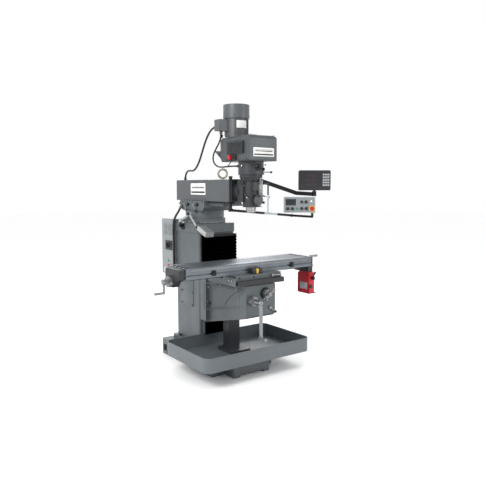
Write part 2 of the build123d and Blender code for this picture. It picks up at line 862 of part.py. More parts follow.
# ------------------------------------------------------------ pendant_arm
with BuildPart() as pendant_arm:
    rod((*pendant_pivot, pendant_arm_z - 12), (*pendant_pivot, pendant_arm_z + 14), arm_hub_radius)
    rod((*pendant_pivot, pendant_arm_z), pendant_elbow, pendant_tube_radius)
    ball(pendant_elbow, pendant_tube_radius + 4)
    rod(pendant_elbow, pendant_end, pendant_tube_radius)
    ball(pendant_end, pendant_tube_radius)
    rod(pendant_end, (*pendant_end[:2], pendant_hook_z), pendant_tube_radius)
    rod(
        (*pendant_pivot, pendant_arm_z - 16),
        (*pendant_pivot, pendant_arm_z + 20),
        arm_post_radius + fit_gap,
        Mode.SUBTRACT,
    )
pendant_arm.part.label = "pendant_arm"
export_step(pendant_arm.part, "parts/pendant_arm.step")

# ------------------------------------------------------------ pendant_panel
pendant_width = 284.0
pendant_height = 144.0
pendant_thickness = 52.0
pendant_bottom_z = pendant_hook_z + slide_gap
estop_local = (112.0, -34.0)
speed_knob_local = (18.0, 26.0)
estop_shaft_radius = 8.0
estop_travel = 6.0
pendant_corner = Vector(*pendant_end[:2], pendant_bottom_z + 6 + pendant_height / 2)
pendant_centre = pendant_corner - screen_across * (pendant_width / 2 - 24)
pendant_face = pendant_centre + screen_facing * pendant_thickness / 2
pendant_plane = Plane(origin=pendant_face, x_dir=screen_across, z_dir=screen_facing)


def on_pendant(local, out):
    """Point at a place on the panel's face, and so far out of it."""
    return tuple(pendant_face + screen_across * local[0] + Vector(0, 0, local[1]) + screen_facing * out)


with BuildPart() as pendant_panel:
    with BuildSketch(pendant_plane):
        RectangleRounded(pendant_width, pendant_height, 8)
    extrude(amount=-pendant_thickness)
    rod((*pendant_end[:2], pendant_bottom_z), (*pendant_end[:2], pendant_bottom_z + 8), 18)
    rod(
        on_pendant(estop_local, 0),
        on_pendant(estop_local, -20),
        estop_shaft_radius + fit_gap,
        Mode.SUBTRACT,
    )
    rod(on_pendant(speed_knob_local, 0), on_pendant(speed_knob_local, -12), 5 + fit_gap, Mode.SUBTRACT)
pendant_panel.part.label = "pendant_panel"
export_step(pendant_panel.part, "parts/pendant_panel.step")

# ------------------------------------------------------------ estop_button
with BuildPart() as estop_button:
    rod(on_pendant(estop_local, -12), on_pendant(estop_local, estop_travel + 4), estop_shaft_radius)
    rod(
        on_pendant(estop_local, estop_travel + 2),
        on_pendant(estop_local, estop_travel + 18),
        21,
        tip_radius=17,
    )
estop_button.part.label = "estop_button"
export_step(estop_button.part, "parts/estop_button.step")

# ------------------------------------------------------------ speed_knob
with BuildPart() as speed_knob:
    rod(on_pendant(speed_knob_local, -11), on_pendant(speed_knob_local, 4), 5)
    rod(on_pendant(speed_knob_local, air_gap), on_pendant(speed_knob_local, 18), 13, tip_radius=11)
speed_knob.part.label = "speed_knob"
export_step(speed_knob.part, "parts/speed_knob.step")

# ============================================================ head
pinion_radius = 20.0
pinion_y = spindle_y + quill_radius + pinion_radius + 0.5
pinion_z = tilt_z - 32
pinion_shaft_radius = 10.0
fine_feed_z = tilt_z - 72
fine_feed_front_y = -668.0
fine_feed_radius = 8.0
shield_rod = (105.0, -682.0)
shield_rod_radius = 7.0
brake_pivot = (124.0, spindle_y)
brake_pin_radius = 5.0
brake_lug_z = gear_housing_bottom_z + 4
brake_lug_top_z = brake_lug_z + 16
brake_lever_z = brake_lug_top_z + 6
floor_thickness = 10.0
head_switch_y = -490.0
head_switch_z = belt_cover_bottom_z + 34
chamfer_start = (-212.0, belt_cover_bottom_z + 101)
chamfer_end = (-340.0, belt_cover_bottom_z)

# ------------------------------------------------------------ head_casting
with BuildPart() as head_casting:
    rod((0, spindle_y, quill_housing_bottom_z), (0, spindle_y, gear_housing_bottom_z), quill_housing_radius)
    rod((0, spindle_y, gear_housing_bottom_z - 22), (0, spindle_y, gear_housing_bottom_z), 100)
    rod(
        (0, spindle_y, gear_housing_bottom_z - 56),
        (0, spindle_y, gear_housing_bottom_z - 22),
        78,
        tip_radius=99,
    )
    block((-86, 86), (spindle_y, head_back_y - 22), (tilt_z - 92, tilt_z + 96))
    rod((0, head_back_y - slide_gap, tilt_z), (0, head_back_y - 34, tilt_z), adapter_disc_radius)
    rod((0, spindle_y, fine_feed_z), (0, fine_feed_front_y, fine_feed_z), 26)
    rod((0, pinion_y, pinion_z), (112, pinion_y, pinion_z), 24)
    block((-40, 20), (spindle_y - quill_housing_radius - 16, spindle_y - 50), (tilt_z + 8, tilt_z + 80))
    # bracket and rod that carry the chip shield
    bar((60, spindle_y - 40, tilt_z + 68), (shield_rod[0], shield_rod[1] + 4, tilt_z + 68), 14, 18)
    rod((*shield_rod, tilt_z - 192), (*shield_rod, tilt_z + 77), shield_rod_radius)
    # bores
    rod(
        (0, spindle_y, quill_housing_bottom_z),
        (0, spindle_y, gear_housing_bottom_z),
        quill_radius + fit_gap,
        Mode.SUBTRACT,
    )
    rod(
        (0, head_back_y, tilt_z),
        (0, head_back_y - tilt_spigot_length - 1, tilt_z),
        tilt_spigot_radius + fit_gap,
        Mode.SUBTRACT,
    )
    rod((-29, pinion_y, pinion_z), (29, pinion_y, pinion_z), pinion_radius + 1, Mode.SUBTRACT)
    rod((28, pinion_y, pinion_z), (112, pinion_y, pinion_z), pinion_shaft_radius + fit_gap, Mode.SUBTRACT)
    rod(
        (0, fine_feed_front_y, fine_feed_z),
        (0, fine_feed_front_y + 22, fine_feed_z),
        fine_feed_radius + fit_gap,
        Mode.SUBTRACT,
    )
head_casting.part.label = "head_casting"
export_step(head_casting.part, "parts/head_casting.step")


def belt_outline(inset):
    """Plan of the belt housing: straight sides with a round end about the motor."""
    half = belt_cover_half_width - inset
    with Locations((0, (belt_cover_front_y + inset + motor_y) / 2)):
        Rectangle(2 * half, motor_y - belt_cover_front_y - inset)
    with Locations((0, motor_y)):
        Circle(half)


def rear_chamfer(extra):
    """Cut that slopes the underside of the belt housing's rear end."""
    wide = belt_cover_half_width + 10
    profile_yz(
        [
            (chamfer_end[0] - extra, chamfer_end[1] - 1),
            (-100, chamfer_end[1] - 1),
            (-100, chamfer_start[1] + extra),
            (chamfer_start[0] - extra, chamfer_start[1] + extra),
        ],
        -wide,
        wide,
        Mode.SUBTRACT,
    )


# ------------------------------------------------------------ gear_housing
gear_wall = 14.0
pulley_hub_radius = 32.0
with BuildPart() as gear_housing:
    rod((0, spindle_y, gear_housing_bottom_z), (0, spindle_y, belt_cover_bottom_z), gear_housing_radius)
    with BuildSketch(Plane.XY.offset(belt_cover_bottom_z)):
        belt_outline(0)
    extrude(amount=floor_thickness)
    rear_chamfer(0)
    rod(
        (0, spindle_y, gear_housing_bottom_z + gear_wall),
        (0, spindle_y, belt_cover_bottom_z - 4),
        gear_housing_radius - gear_wall,
        Mode.SUBTRACT,
    )
    rod(
        (0, spindle_y, gear_housing_bottom_z),
        (0, spindle_y, gear_housing_bottom_z + gear_wall),
        quill_radius + 1,
        Mode.SUBTRACT,
    )
    rod(
        (0, spindle_y, belt_cover_bottom_z - 4),
        (0, spindle_y, belt_cover_bottom_z + floor_thickness),
        pulley_hub_radius + fit_gap,
        Mode.SUBTRACT,
    )
    block(
        (gear_housing_radius - 6, brake_pivot[0] + 12),
        (spindle_y - 14, spindle_y + 14),
        (brake_lug_z, brake_lug_top_z),
    )
    rod(
        (*brake_pivot, brake_lug_z),
        (*brake_pivot, brake_lug_top_z),
        brake_pin_radius + fit_gap,
        Mode.SUBTRACT,
    )
    gland_z = gear_housing_bottom_z + 74
    rod((-84, spindle_y + 57, gland_z), (-100.8, spindle_y + 69.5, gland_z), 11)
gear_housing.part.label = "gear_housing"
export_step(gear_housing.part, "parts/gear_housing.step")

# ------------------------------------------------------------ belt_cover
with BuildPart() as belt_cover:
    with BuildSketch(Plane.XY.offset(belt_cover_bottom_z + floor_thickness)):
        belt_outline(0)
    extrude(amount=belt_cover_top_z - belt_cover_bottom_z - floor_thickness)
    fillet(belt_cover.faces().sort_by(Axis.Z)[-1].edges(), belt_cover_fillet)
    with BuildSketch(Plane.XY.offset(belt_cover_bottom_z + floor_thickness)):
        belt_outline(belt_cover_wall)
    extrude(amount=belt_cover_top_z - belt_cover_bottom_z - floor_thickness - 20, mode=Mode.SUBTRACT)
    rear_chamfer(0)
    profile_yz(
        [
            (chamfer_end[0] - 2, chamfer_end[1] + floor_thickness),
            (chamfer_start[0], chamfer_start[1]),
            (chamfer_start[0] - 6, chamfer_start[1] + 3),
            (chamfer_end[0] - 8, chamfer_end[1] + floor_thickness),
        ],
        -belt_cover_half_width + belt_cover_wall,
        belt_cover_half_width - belt_cover_wall,
    )
    rod((0, spindle_y, belt_cover_top_z), (0, spindle_y, belt_cover_top_z + 14), 52)
    rod((0, spindle_y, belt_cover_top_z - 24), (0, spindle_y, belt_cover_top_z + 8), 40, Mode.SUBTRACT)
    rod((0, motor_y, belt_cover_top_z - 24), (0, motor_y, belt_cover_top_z), 34, Mode.SUBTRACT)
    rod(
        (-belt_cover_half_width - 12, head_switch_y, head_switch_z),
        (-belt_cover_half_width, head_switch_y, head_switch_z),
        24,
    )
belt_cover.part.label = "belt_cover"
export_step(belt_cover.part, "parts/belt_cover.step")

# ------------------------------------------------------------ motor_housing
motor_floor = 20.0
with BuildPart() as motor_housing:
    rod((0, motor_y, belt_cover_top_z), (0, motor_y, motor_top_z), motor_radius)
    rod(
        (0, motor_y, belt_cover_top_z + motor_floor),
        (0, motor_y, motor_top_z),
        stator_bore_radius,
        Mode.SUBTRACT,
    )
    rod(
        (0, motor_y, belt_cover_top_z),
        (0, motor_y, belt_cover_top_z + motor_floor),
        motor_shaft_radius + fit_gap,
        Mode.SUBTRACT,
    )
motor_housing.part.label = "motor_housing"
export_step(motor_housing.part, "parts/motor_housing.step")

# ------------------------------------------------------------ motor_cowl
with BuildPart() as motor_cowl:
    rod((0, motor_y, motor_top_z), (0, motor_y, cowl_top_z), cowl_radius)
    rod(
        (0, motor_y, motor_top_z + cowl_wall),
        (0, motor_y, cowl_top_z - cowl_wall),
        cowl_radius - cowl_wall,
        Mode.SUBTRACT,
    )
    rod((0, motor_y, motor_top_z), (0, motor_y, motor_top_z + cowl_wall), stator_bore_radius, Mode.SUBTRACT)
    for ring_radius, count in ((30, 6), (55, 12), (80, 18)):
        for step in range(count):
            turn = radians(360 * step / count)
            hole = (ring_radius * cos(turn), motor_y + ring_radius * sin(turn))
            rod((*hole, cowl_top_z - cowl_wall), (*hole, cowl_top_z), 7, Mode.SUBTRACT)
motor_cowl.part.label = "motor_cowl"
export_step(motor_cowl.part, "parts/motor_cowl.step")

# ------------------------------------------------------------ motor_box
box_left_x = -190.0
box_y_limits = (-380.0, -292.0)
box_z_limits = (belt_cover_top_z + 55, belt_cover_top_z + 153)
gland_x = -150.0
lead_exit = (gland_x, -336.0, belt_cover_top_z + 33)
cable_exit = (gland_x, -274.0, belt_cover_top_z + 100)
with BuildPart() as motor_box:
    block((box_left_x, -90), box_y_limits, box_z_limits)
    rod((0, motor_y, belt_cover_top_z), (0, motor_y, motor_top_z), motor_radius, Mode.SUBTRACT)
    rod((gland_x, box_y_limits[1], cable_exit[2]), cable_exit, 15)
    rod((gland_x, lead_exit[1], box_z_limits[0]), lead_exit, 14)
motor_box.part.label = "motor_box"
export_step(motor_box.part, "parts/motor_box.step")

# ------------------------------------------------------------ drive_belt
belt_gap = 0.4


def belt_section(extra):
    """Outline that wraps both pulleys, so far outside them."""
    with Locations((0, spindle_y)):
        Circle(spindle_pulley_radius + extra)
    with Locations((0, motor_y)):
        Circle(motor_pulley_radius + extra)


belt_bottom_z = pulley_bottom_z + (pulley_height - belt_width) / 2
with BuildPart() as drive_belt:
    with BuildSketch(Plane.XY.offset(belt_bottom_z)):
        belt_section(belt_gap + belt_thickness)
        make_hull()
    extrude(amount=belt_width)
    with BuildSketch(Plane.XY.offset(belt_bottom_z)):
        belt_section(belt_gap)
        make_hull()
    extrude(amount=belt_width, mode=Mode.SUBTRACT)
drive_belt.part.label = "drive_belt"
export_step(drive_belt.part, "parts/drive_belt.step")

# ------------------------------------------------------------ motor_rotor
with BuildPart() as motor_rotor:
    rod((0, motor_y, pulley_bottom_z - 6), (0, motor_y, cowl_top_z - 50), motor_shaft_radius)
    rod((0, motor_y, pulley_bottom_z), (0, motor_y, pulley_bottom_z + pulley_height), motor_pulley_radius)
    rod((0, motor_y, belt_cover_top_z + 32), (0, motor_y, motor_top_z - 24), stator_bore_radius - 4)
    rod((0, motor_y, motor_top_z + 24), (0, motor_y, motor_top_z + 34), cowl_radius - 22)
motor_rotor.part.label = "motor_rotor"
export_step(motor_rotor.part, "parts/motor_rotor.step")

# ------------------------------------------------------------ spindle_pulley
with BuildPart() as spindle_pulley:
    rod(
        (0, spindle_y, pulley_bottom_z),
        (0, spindle_y, pulley_bottom_z + pulley_height),
        spindle_pulley_radius,
    )
    rod((0, spindle_y, belt_cover_bottom_z), (0, spindle_y, pulley_bottom_z), pulley_hub_radius)
    rod(
        (0, spindle_y, belt_cover_bottom_z),
        (0, spindle_y, pulley_bottom_z + pulley_height),
        spindle_radius + fit_gap,
        Mode.SUBTRACT,
    )
spindle_pulley.part.label = "spindle_pulley"
export_step(spindle_pulley.part, "parts/spindle_pulley.step")

# ------------------------------------------------------------ quill
quill_top_z = quill_bottom_z + quill_length
with BuildPart() as quill:
    rod((0, spindle_y, quill_bottom_z), (0, spindle_y, quill_top_z), quill_radius)
    rod((0, spindle_y, quill_bottom_z), (0, spindle_y, quill_top_z), bearing_radius, Mode.SUBTRACT)
quill.part.label = "quill"
export_step(quill.part, "parts/quill.step")

# ------------------------------------------------------------ spindle_bearings
bearing_seats = [
    (quill_bottom_z + 4, spindle_nose_shaft_radius),
    (quill_bottom_z + 160, spindle_radius),
    (quill_top_z - bearing_width - 6, spindle_radius),
]
with BuildPart() as spindle_bearings:
    for seat_z, inner in bearing_seats:
        rod((0, spindle_y, seat_z), (0, spindle_y, seat_z + bearing_width), bearing_radius)
        rod((0, spindle_y, seat_z), (0, spindle_y, seat_z + bearing_width), inner + fit_gap, Mode.SUBTRACT)
spindle_bearings.part.label = "spindle_bearings"
export_step(spindle_bearings.part, "parts/spindle_bearings.step")

# ------------------------------------------------------------ spindle
drawbar_radius = 8.0
taper_length = 70.0
taper_mouth_radius = 22.2
taper_throat_radius = 12.5
nose_shaft_top_z = quill_bottom_z + 80
spindle_top_z = belt_cover_top_z - 26
with BuildPart() as spindle:
    rod((0, spindle_y, nose_bottom_z), (0, spindle_y, quill_bottom_z - air_gap), nose_radius)
    rod(
        (0, spindle_y, quill_bottom_z - air_gap),
        (0, spindle_y, nose_shaft_top_z),
        spindle_nose_shaft_radius,
    )
    rod((0, spindle_y, nose_shaft_top_z), (0, spindle_y, spindle_top_z), spindle_radius)
    rod(
        (0, spindle_y, nose_bottom_z),
        (0, spindle_y, nose_bottom_z + taper_length),
        taper_mouth_radius,
        Mode.SUBTRACT,
        taper_throat_radius,
    )
    rod(
        (0, spindle_y, nose_bottom_z),
        (0, spindle_y, spindle_top_z),
        drawbar_radius + fit_gap,
        Mode.SUBTRACT,
    )
spindle.part.label = "spindle"
export_step(spindle.part, "parts/spindle.step")

# ------------------------------------------------------------ drawbar
with BuildPart() as drawbar:
    rod((0, spindle_y, nose_bottom_z + taper_length - 20), (0, spindle_y, spindle_top_z), drawbar_radius)
    with BuildSketch(Plane(origin=(0, spindle_y, spindle_top_z))):
        RegularPolygon(14, 6)
    extrude(amount=18)
drawbar.part.label = "drawbar"
export_step(drawbar.part, "parts/drawbar.step")

# ------------------------------------------------------------ quill_pinion
feed_hub_x = 136.0
feed_reach = 128.0
with BuildPart() as quill_pinion:
    rod((-26, pinion_y, pinion_z), (26, pinion_y, pinion_z), pinion_radius)
    rod((26, pinion_y, pinion_z), (feed_hub_x + 20, pinion_y, pinion_z), pinion_shaft_radius)
    rod((feed_hub_x - 10, pinion_y, pinion_z), (feed_hub_x + 22, pinion_y, pinion_z), 23)
    lever_tip = (
        feed_hub_x + 12,
        pinion_y - feed_reach * cos(radians(8)),
        pinion_z - feed_reach * sin(radians(8)),
    )
    rod((feed_hub_x + 12, pinion_y, pinion_z), lever_tip, 7)
    ball(lever_tip, 14)
quill_pinion.part.label = "quill_pinion"
export_step(quill_pinion.part, "parts/quill_pinion.step")

# ------------------------------------------------------------ fine_feed_wheel
with BuildPart() as fine_feed_wheel:
    rod(
        (0, fine_feed_front_y + 20, fine_feed_z),
        (0, fine_feed_front_y - 20, fine_feed_z),
        fine_feed_radius,
    )
    rod((0, fine_feed_front_y - 8, fine_feed_z), (0, fine_feed_front_y - 20, fine_feed_z), 46)
    rod(
        (0, fine_feed_front_y - 20, fine_feed_z + 34),
        (0, fine_feed_front_y - 46, fine_feed_z + 34),
        6,
        tip_radius=8,
    )
fine_feed_wheel.part.label = "fine_feed_wheel"
export_step(fine_feed_wheel.part, "parts/fine_feed_wheel.step")

# ------------------------------------------------------------ brake_lever
with BuildPart() as brake_lever:
    rod((*brake_pivot, brake_lug_z + 2), (*brake_pivot, brake_lever_z + 6), brake_pin_radius)
    rod((*brake_pivot, brake_lug_top_z + slide_gap), (*brake_pivot, brake_lever_z + 6), 11)
    rod((*brake_pivot, brake_lever_z), (brake_pivot[0] + 96, brake_pivot[1], brake_lever_z), 4)
    ball((brake_pivot[0] + 102, brake_pivot[1], brake_lever_z), 11)
brake_lever.part.label = "brake_lever"
export_step(brake_lever.part, "parts/brake_lever.step")

# ------------------------------------------------------------ head_switch
with BuildPart() as head_switch:
    switch_x = -belt_cover_half_width - 12 - slide_gap
    rod(
        (switch_x, head_switch_y, head_switch_z),
        (switch_x - 22, head_switch_y, head_switch_z),
        21,
        tip_radius=18,
    )
head_switch.part.label = "head_switch"
export_step(head_switch.part, "parts/head_switch.step")

# ------------------------------------------------------------ chip_shield
shield_bottom_z = tilt_z - 247
shield_top_z = tilt_z - 30
with BuildPart() as chip_shield:
    rod((*shield_rod, shield_top_z - 60), (*shield_rod, shield_top_z), shield_rod_radius + 6)
    block((58, 200), (shield_rod[1] - 15, shield_rod[1] - 11), (shield_bottom_z, shield_top_z))
    rod(
        (*shield_rod, shield_top_z - 60),
        (*shield_rod, shield_top_z),
        shield_rod_radius + fit_gap,
        Mode.SUBTRACT,
    )
chip_shield.part.label = "chip_shield"
export_step(chip_shield.part, "parts/chip_shield.step")

# ------------------------------------------------------------ motor_cable
cable_radius = 9.0
cable_route = [
    (-150.0, -273.4, 2205.0),
    (-151.0, -236.0, 2204.0),
    (-156.0, -180.0, 2180.0),
    (-160.0, -130.0, 2130.0),
    (-162.0, -84.0, 2064.0),
    (-158.0, -34.0, 1990.0),
    (-148.0, 26.0, 1918.0),
    (-134.0, 102.0, 1858.0),
    (-120.0, 182.0, 1826.0),
    (-107.0, 258.0, 1830.0),
    (-95.0, 322.0, 1832.0),
    (-88.0, 372.0, 1814.0),
    (-84.0, 400.0, 1782.0),
    (-82.0, 406.5, 1741.6),
]
with BuildPart() as motor_cable:
    tube_along(cable_route, cable_radius)
motor_cable.part.label = "motor_cable"
export_step(motor_cable.part, "parts/motor_cable.step")

# ------------------------------------------------------------ head_lead
head_lead_radius = 7.0
lead_route = [
    (-150.0, -336.0, 2137.3),
    (-151.0, -334.0, 2106.0),
    (-156.0, -318.0, 2062.0),
    (-165.0, -286.0, 2016.0),
    (-173.0, -252.0, 1968.0),
    (-175.0, -240.0, 1918.0),
    (-171.0, -262.0, 1874.0),
    (-161.0, -302.0, 1850.0),
    (-154.0, -352.0, 1845.0),
    (-150.0, -402.0, 1847.0),
    (-146.0, -450.0, 1848.0),
    (-130.0, -484.0, 1850.0),
    (-101.0, -505.3, 1850.0),
]
with BuildPart() as head_lead:
    tube_along(lead_route, head_lead_radius)
head_lead.part.label = "head_lead"
export_step(head_lead.part, "parts/head_lead.step")

# ------------------------------------------------------------ ram_conduit
conduit_route = [
    (-178.0, 350.0, 1462.8),
    (-190.0, 362.0, 1429.5),
    (-214.0, 386.0, 1380.0),
    (-228.0, 401.0, 1318.0),
    (-230.0, 403.0, 1230.0),
    (-227.0, 402.0, 1120.0),
    (-228.0, 403.0, 1000.0),
    (conduit_x, conduit_y, conduit_bottom_z + 0.2),
]
with BuildPart() as ram_conduit:
    tube_along(conduit_route, conduit_radius)
ram_conduit.part.label = "ram_conduit"
export_step(ram_conduit.part, "parts/ram_conduit.step")

# ============================================================ knee
knee_inner = knee_half_width - knee_wall
knee_front_inner_y = knee_front_y + knee_wall
knee_rear_inner_y = knee_rear_y - knee_wall
cheek_inner_x = way_outer_x + slide_gap
cheek_outer_x = 196.0
knee_shaft_radius = 12.0
knee_journal_radius = 12.0
knee_gear_width = 26.0
knee_gear_bottom_z = knee_shaft_z - knee_gear_width / 2
knee_pinion_radius = abs(knee_shaft_x) - knee_gear_radius - 0.5
cross_slot_half_width = 26.0
cross_nut_rear_y = -280.0
cross_nut_front_y = -330.0
dial_gap = 1.0
boss_depth = 10.0

# ------------------------------------------------------------ knee
with BuildPart() as knee:
    profile_yz(
        [
            (knee_front_y, knee_top_z),
            (knee_front_y, knee_front_bottom_z + 22),
            (knee_front_y + 26, knee_front_bottom_z),
            (knee_rear_y, knee_rear_bottom_z),
            (knee_rear_y, knee_top_z),
        ],
        -knee_half_width,
        knee_half_width,
    )
    for side in (-1, 1):
        flare = sorted((side * knee_half_width, side * cheek_outer_x))
        cheek = sorted((side * cheek_inner_x, side * cheek_outer_x))
        block(flare, (knee_rear_y - 70, knee_rear_y), (knee_rear_bottom_z + 24, knee_top_z))
        block(cheek, (knee_rear_y, column_front_y - 5), (knee_rear_bottom_z + 24, knee_top_z))
    profile_yz(
        [
            (knee_front_inner_y, knee_top_z - knee_wall),
            (knee_front_inner_y, knee_rear_bottom_z),
            (knee_rear_inner_y, knee_rear_bottom_z - 40),
            (knee_rear_inner_y, knee_top_z - knee_wall),
        ],
        -knee_inner,
        knee_inner,
        Mode.SUBTRACT,
    )
    rod((cross_x, knee_front_y, cross_z), (cross_x, knee_front_y - boss_depth, cross_z), 36)
    rod(
        (knee_shaft_x, knee_front_y, knee_shaft_z),
        (knee_shaft_x, knee_front_y - boss_depth, knee_shaft_z),
        36,
    )
    block(
        (cross_x - cross_slot_half_width, cross_x + cross_slot_half_width),
        (cross_nut_front_y - cross_travel_forward - 8, cross_nut_rear_y + cross_travel_back + 6),
        (knee_top_z - knee_wall, knee_top_z),
        Mode.SUBTRACT,
    )
    rod(
        (cross_x, knee_front_y - boss_depth, cross_z),
        (cross_x, knee_front_inner_y, cross_z),
        cross_radius + fit_gap,
        Mode.SUBTRACT,
    )
    rod(
        (knee_shaft_x, knee_front_y - boss_depth, knee_shaft_z),
        (knee_shaft_x, knee_front_inner_y, knee_shaft_z),
        knee_shaft_radius + fit_gap,
        Mode.SUBTRACT,
    )
    rod(
        (0, knee_screw_y, knee_top_z - knee_wall),
        (0, knee_screw_y, knee_top_z),
        knee_journal_radius + fit_gap,
        Mode.SUBTRACT,
    )
knee.part.label = "knee"
export_step(knee.part, "parts/knee.step")

# ------------------------------------------------------------ knee_screw
knee_screw_bottom_z = 215.0
with BuildPart() as knee_screw:
    rod((0, knee_screw_y, knee_screw_bottom_z), (0, knee_screw_y, knee_gear_bottom_z), knee_screw_radius)
    rod(
        (0, knee_screw_y, knee_gear_bottom_z),
        (0, knee_screw_y, knee_gear_bottom_z + knee_gear_width),
        knee_gear_radius,
    )
    rod(
        (0, knee_screw_y, knee_gear_bottom_z + knee_gear_width),
        (0, knee_screw_y, knee_top_z - 2),
        knee_journal_radius,
    )
knee_screw.part.label = "knee_screw"
export_step(knee_screw.part, "parts/knee_screw.step")

# ------------------------------------------------------------ knee_crank
dial_back_y = knee_front_y - boss_depth - dial_gap
dial_width = 28.0
knee_arm_y = -850.0
knee_handle_z = 402.0
knee_dial_radius = 42.0
with BuildPart() as knee_crank:
    shaft_x = knee_shaft_x
    rod(
        (shaft_x, knee_screw_y + 36, knee_shaft_z),
        (shaft_x, knee_arm_y - 8, knee_shaft_z),
        knee_shaft_radius,
    )
    rod(
        (shaft_x, knee_screw_y - 26, knee_shaft_z),
        (shaft_x, knee_screw_y + 26, knee_shaft_z),
        knee_pinion_radius,
    )
    rod(
        (shaft_x, dial_back_y, knee_shaft_z),
        (shaft_x, dial_back_y - dial_width, knee_shaft_z),
        knee_dial_radius,
    )
    rod(
        (shaft_x, dial_back_y - dial_width, knee_shaft_z),
        (shaft_x, knee_arm_y + 6, knee_shaft_z),
        26,
        tip_radius=20,
    )
    ball((shaft_x, knee_arm_y + 6, knee_shaft_z), 22)
    profile_yz(
        [
            (knee_arm_y + 20, knee_shaft_z + 12),
            (knee_arm_y + 5, knee_shaft_z + 12),
            (knee_arm_y - 7, knee_shaft_z - 60),
            (knee_arm_y - 7, knee_handle_z - 12),
            (knee_arm_y + 7, knee_handle_z - 12),
            (knee_arm_y + 7, knee_shaft_z - 66),
            (knee_arm_y + 20, knee_shaft_z - 12),
        ],
        shaft_x - 14,
        shaft_x + 14,
    )
    rod((shaft_x, knee_arm_y - 9, knee_handle_z), (shaft_x, knee_arm_y + 9, knee_handle_z), 17)
    rod(
        (shaft_x, knee_arm_y - 9, knee_handle_z),
        (shaft_x, knee_arm_y - 66, knee_handle_z),
        10,
        tip_radius=13,
    )
knee_crank.part.label = "knee_crank"
export_step(knee_crank.part, "parts/knee_crank.step")

# ------------------------------------------------------------ cross_screw
cross_arm_y = -784.0
cross_ball_offset = (52.0, 34.0)
cross_dial_radius = 38.0
with BuildPart() as cross_screw:
    rod((cross_x, knee_rear_inner_y - 6, cross_z), (cross_x, cross_arm_y - 10, cross_z), cross_radius)
    rod((cross_x, dial_back_y, cross_z), (cross_x, dial_back_y - dial_width, cross_z), cross_dial_radius)
    rod((cross_x, dial_back_y - dial_width, cross_z), (cross_x, cross_arm_y - 12, cross_z), 19)
    upper_ball = (cross_x + cross_ball_offset[0], cross_arm_y, cross_z + cross_ball_offset[1])
    lower_ball = (cross_x - cross_ball_offset[0], cross_arm_y, cross_z - cross_ball_offset[1])
    rod(lower_ball, upper_ball, 7)
    ball(upper_ball, 13)
    ball(lower_ball, 11)
    rod(lower_ball, (lower_ball[0], lower_ball[1] - 36, lower_ball[2]), 6, tip_radius=9)
cross_screw.part.label = "cross_screw"
export_step(cross_screw.part, "parts/cross_screw.step")

# ============================================================ saddle
table_way_top_z = saddle_top_z + table_way_height
screw_channel_half = 22.0
lead_nut_half_length = 40.0
saddle_lock_x = 140.0
saddle_lock_z = 902.0
lock_shaft_radius = 7.0


def table_way(gap):
    """Outline of the dovetail way between saddle and table, grown by a gap."""
    flank = table_way_half + gap
    return [
        (table_y - flank, saddle_top_z),
        (table_y + flank, saddle_top_z),
        (table_y + flank + table_way_undercut, table_way_top_z + gap),
        (table_y - flank - table_way_undercut, table_way_top_z + gap),
    ]


# ------------------------------------------------------------ saddle
with BuildPart() as saddle:
    block(
        (-saddle_half_width, saddle_half_width),
        (saddle_front_y, saddle_rear_y),
        (saddle_bottom_z, saddle_top_z),
    )
    profile_yz(table_way(0), -saddle_half_width, saddle_half_width)
    block(
        (-saddle_half_width, saddle_half_width),
        (table_y - screw_channel_half, table_y + screw_channel_half),
        (lead_z - screw_channel_half, table_way_top_z),
        Mode.SUBTRACT,
    )
    block(
        (-lead_nut_half_length, lead_nut_half_length),
        (table_y - screw_channel_half, table_y + screw_channel_half),
        (lead_z - screw_channel_half, lead_z + screw_channel_half),
    )
    rod(
        (-lead_nut_half_length, table_y, lead_z),
        (lead_nut_half_length, table_y, lead_z),
        lead_radius + fit_gap,
        Mode.SUBTRACT,
    )
    block(
        (cross_x - cross_slot_half_width + 4, cross_x + cross_slot_half_width - 4),
        (cross_nut_front_y, cross_nut_rear_y),
        (cross_z - cross_radius - 8, saddle_bottom_z),
    )
    rod(
        (cross_x, cross_nut_front_y, cross_z),
        (cross_x, cross_nut_rear_y, cross_z),
        cross_radius + fit_gap,
        Mode.SUBTRACT,
    )
    rod(
        (saddle_lock_x, saddle_front_y, saddle_lock_z),
        (saddle_lock_x, saddle_front_y + 24, saddle_lock_z),
        lock_shaft_radius + fit_gap,
        Mode.SUBTRACT,
    )
saddle.part.label = "saddle"
export_step(saddle.part, "parts/saddle.step")

# ------------------------------------------------------------ saddle_cover
cover_lip_y = saddle_front_y - 40
cover_lip_top_z = 880.0
cover_lip_bottom_z = 838.0
with BuildPart() as saddle_cover:
    block((-250, 250), (cover_lip_y, saddle_front_y), (cover_lip_top_z - 4, cover_lip_top_z))
    block((-250, 250), (cover_lip_y, cover_lip_y + 4), (cover_lip_bottom_z, cover_lip_top_z - 4))
    block((-250, 250), (saddle_front_y - 4, saddle_front_y), (cover_lip_bottom_z, cover_lip_top_z - 4))
saddle_cover.part.label = "saddle_cover"
export_step(saddle_cover.part, "parts/saddle_cover.step")

# ------------------------------------------------------------ saddle_lock
with BuildPart() as saddle_lock:
    lock_face_y = saddle_front_y - air_gap
    rod(
        (saddle_lock_x, saddle_front_y + 22, saddle_lock_z),
        (saddle_lock_x, lock_face_y - 16, saddle_lock_z),
        lock_shaft_radius,
    )
    rod((saddle_lock_x, lock_face_y, saddle_lock_z), (saddle_lock_x, lock_face_y - 18, saddle_lock_z), 13)
    rod(
        (saddle_lock_x, lock_face_y - 12, saddle_lock_z),
        (saddle_lock_x + 92, lock_face_y - 18, saddle_lock_z - 4),
        6,
        tip_radius=9,
    )
saddle_lock.part.label = "saddle_lock"
export_step(saddle_lock.part, "parts/saddle_lock.step")

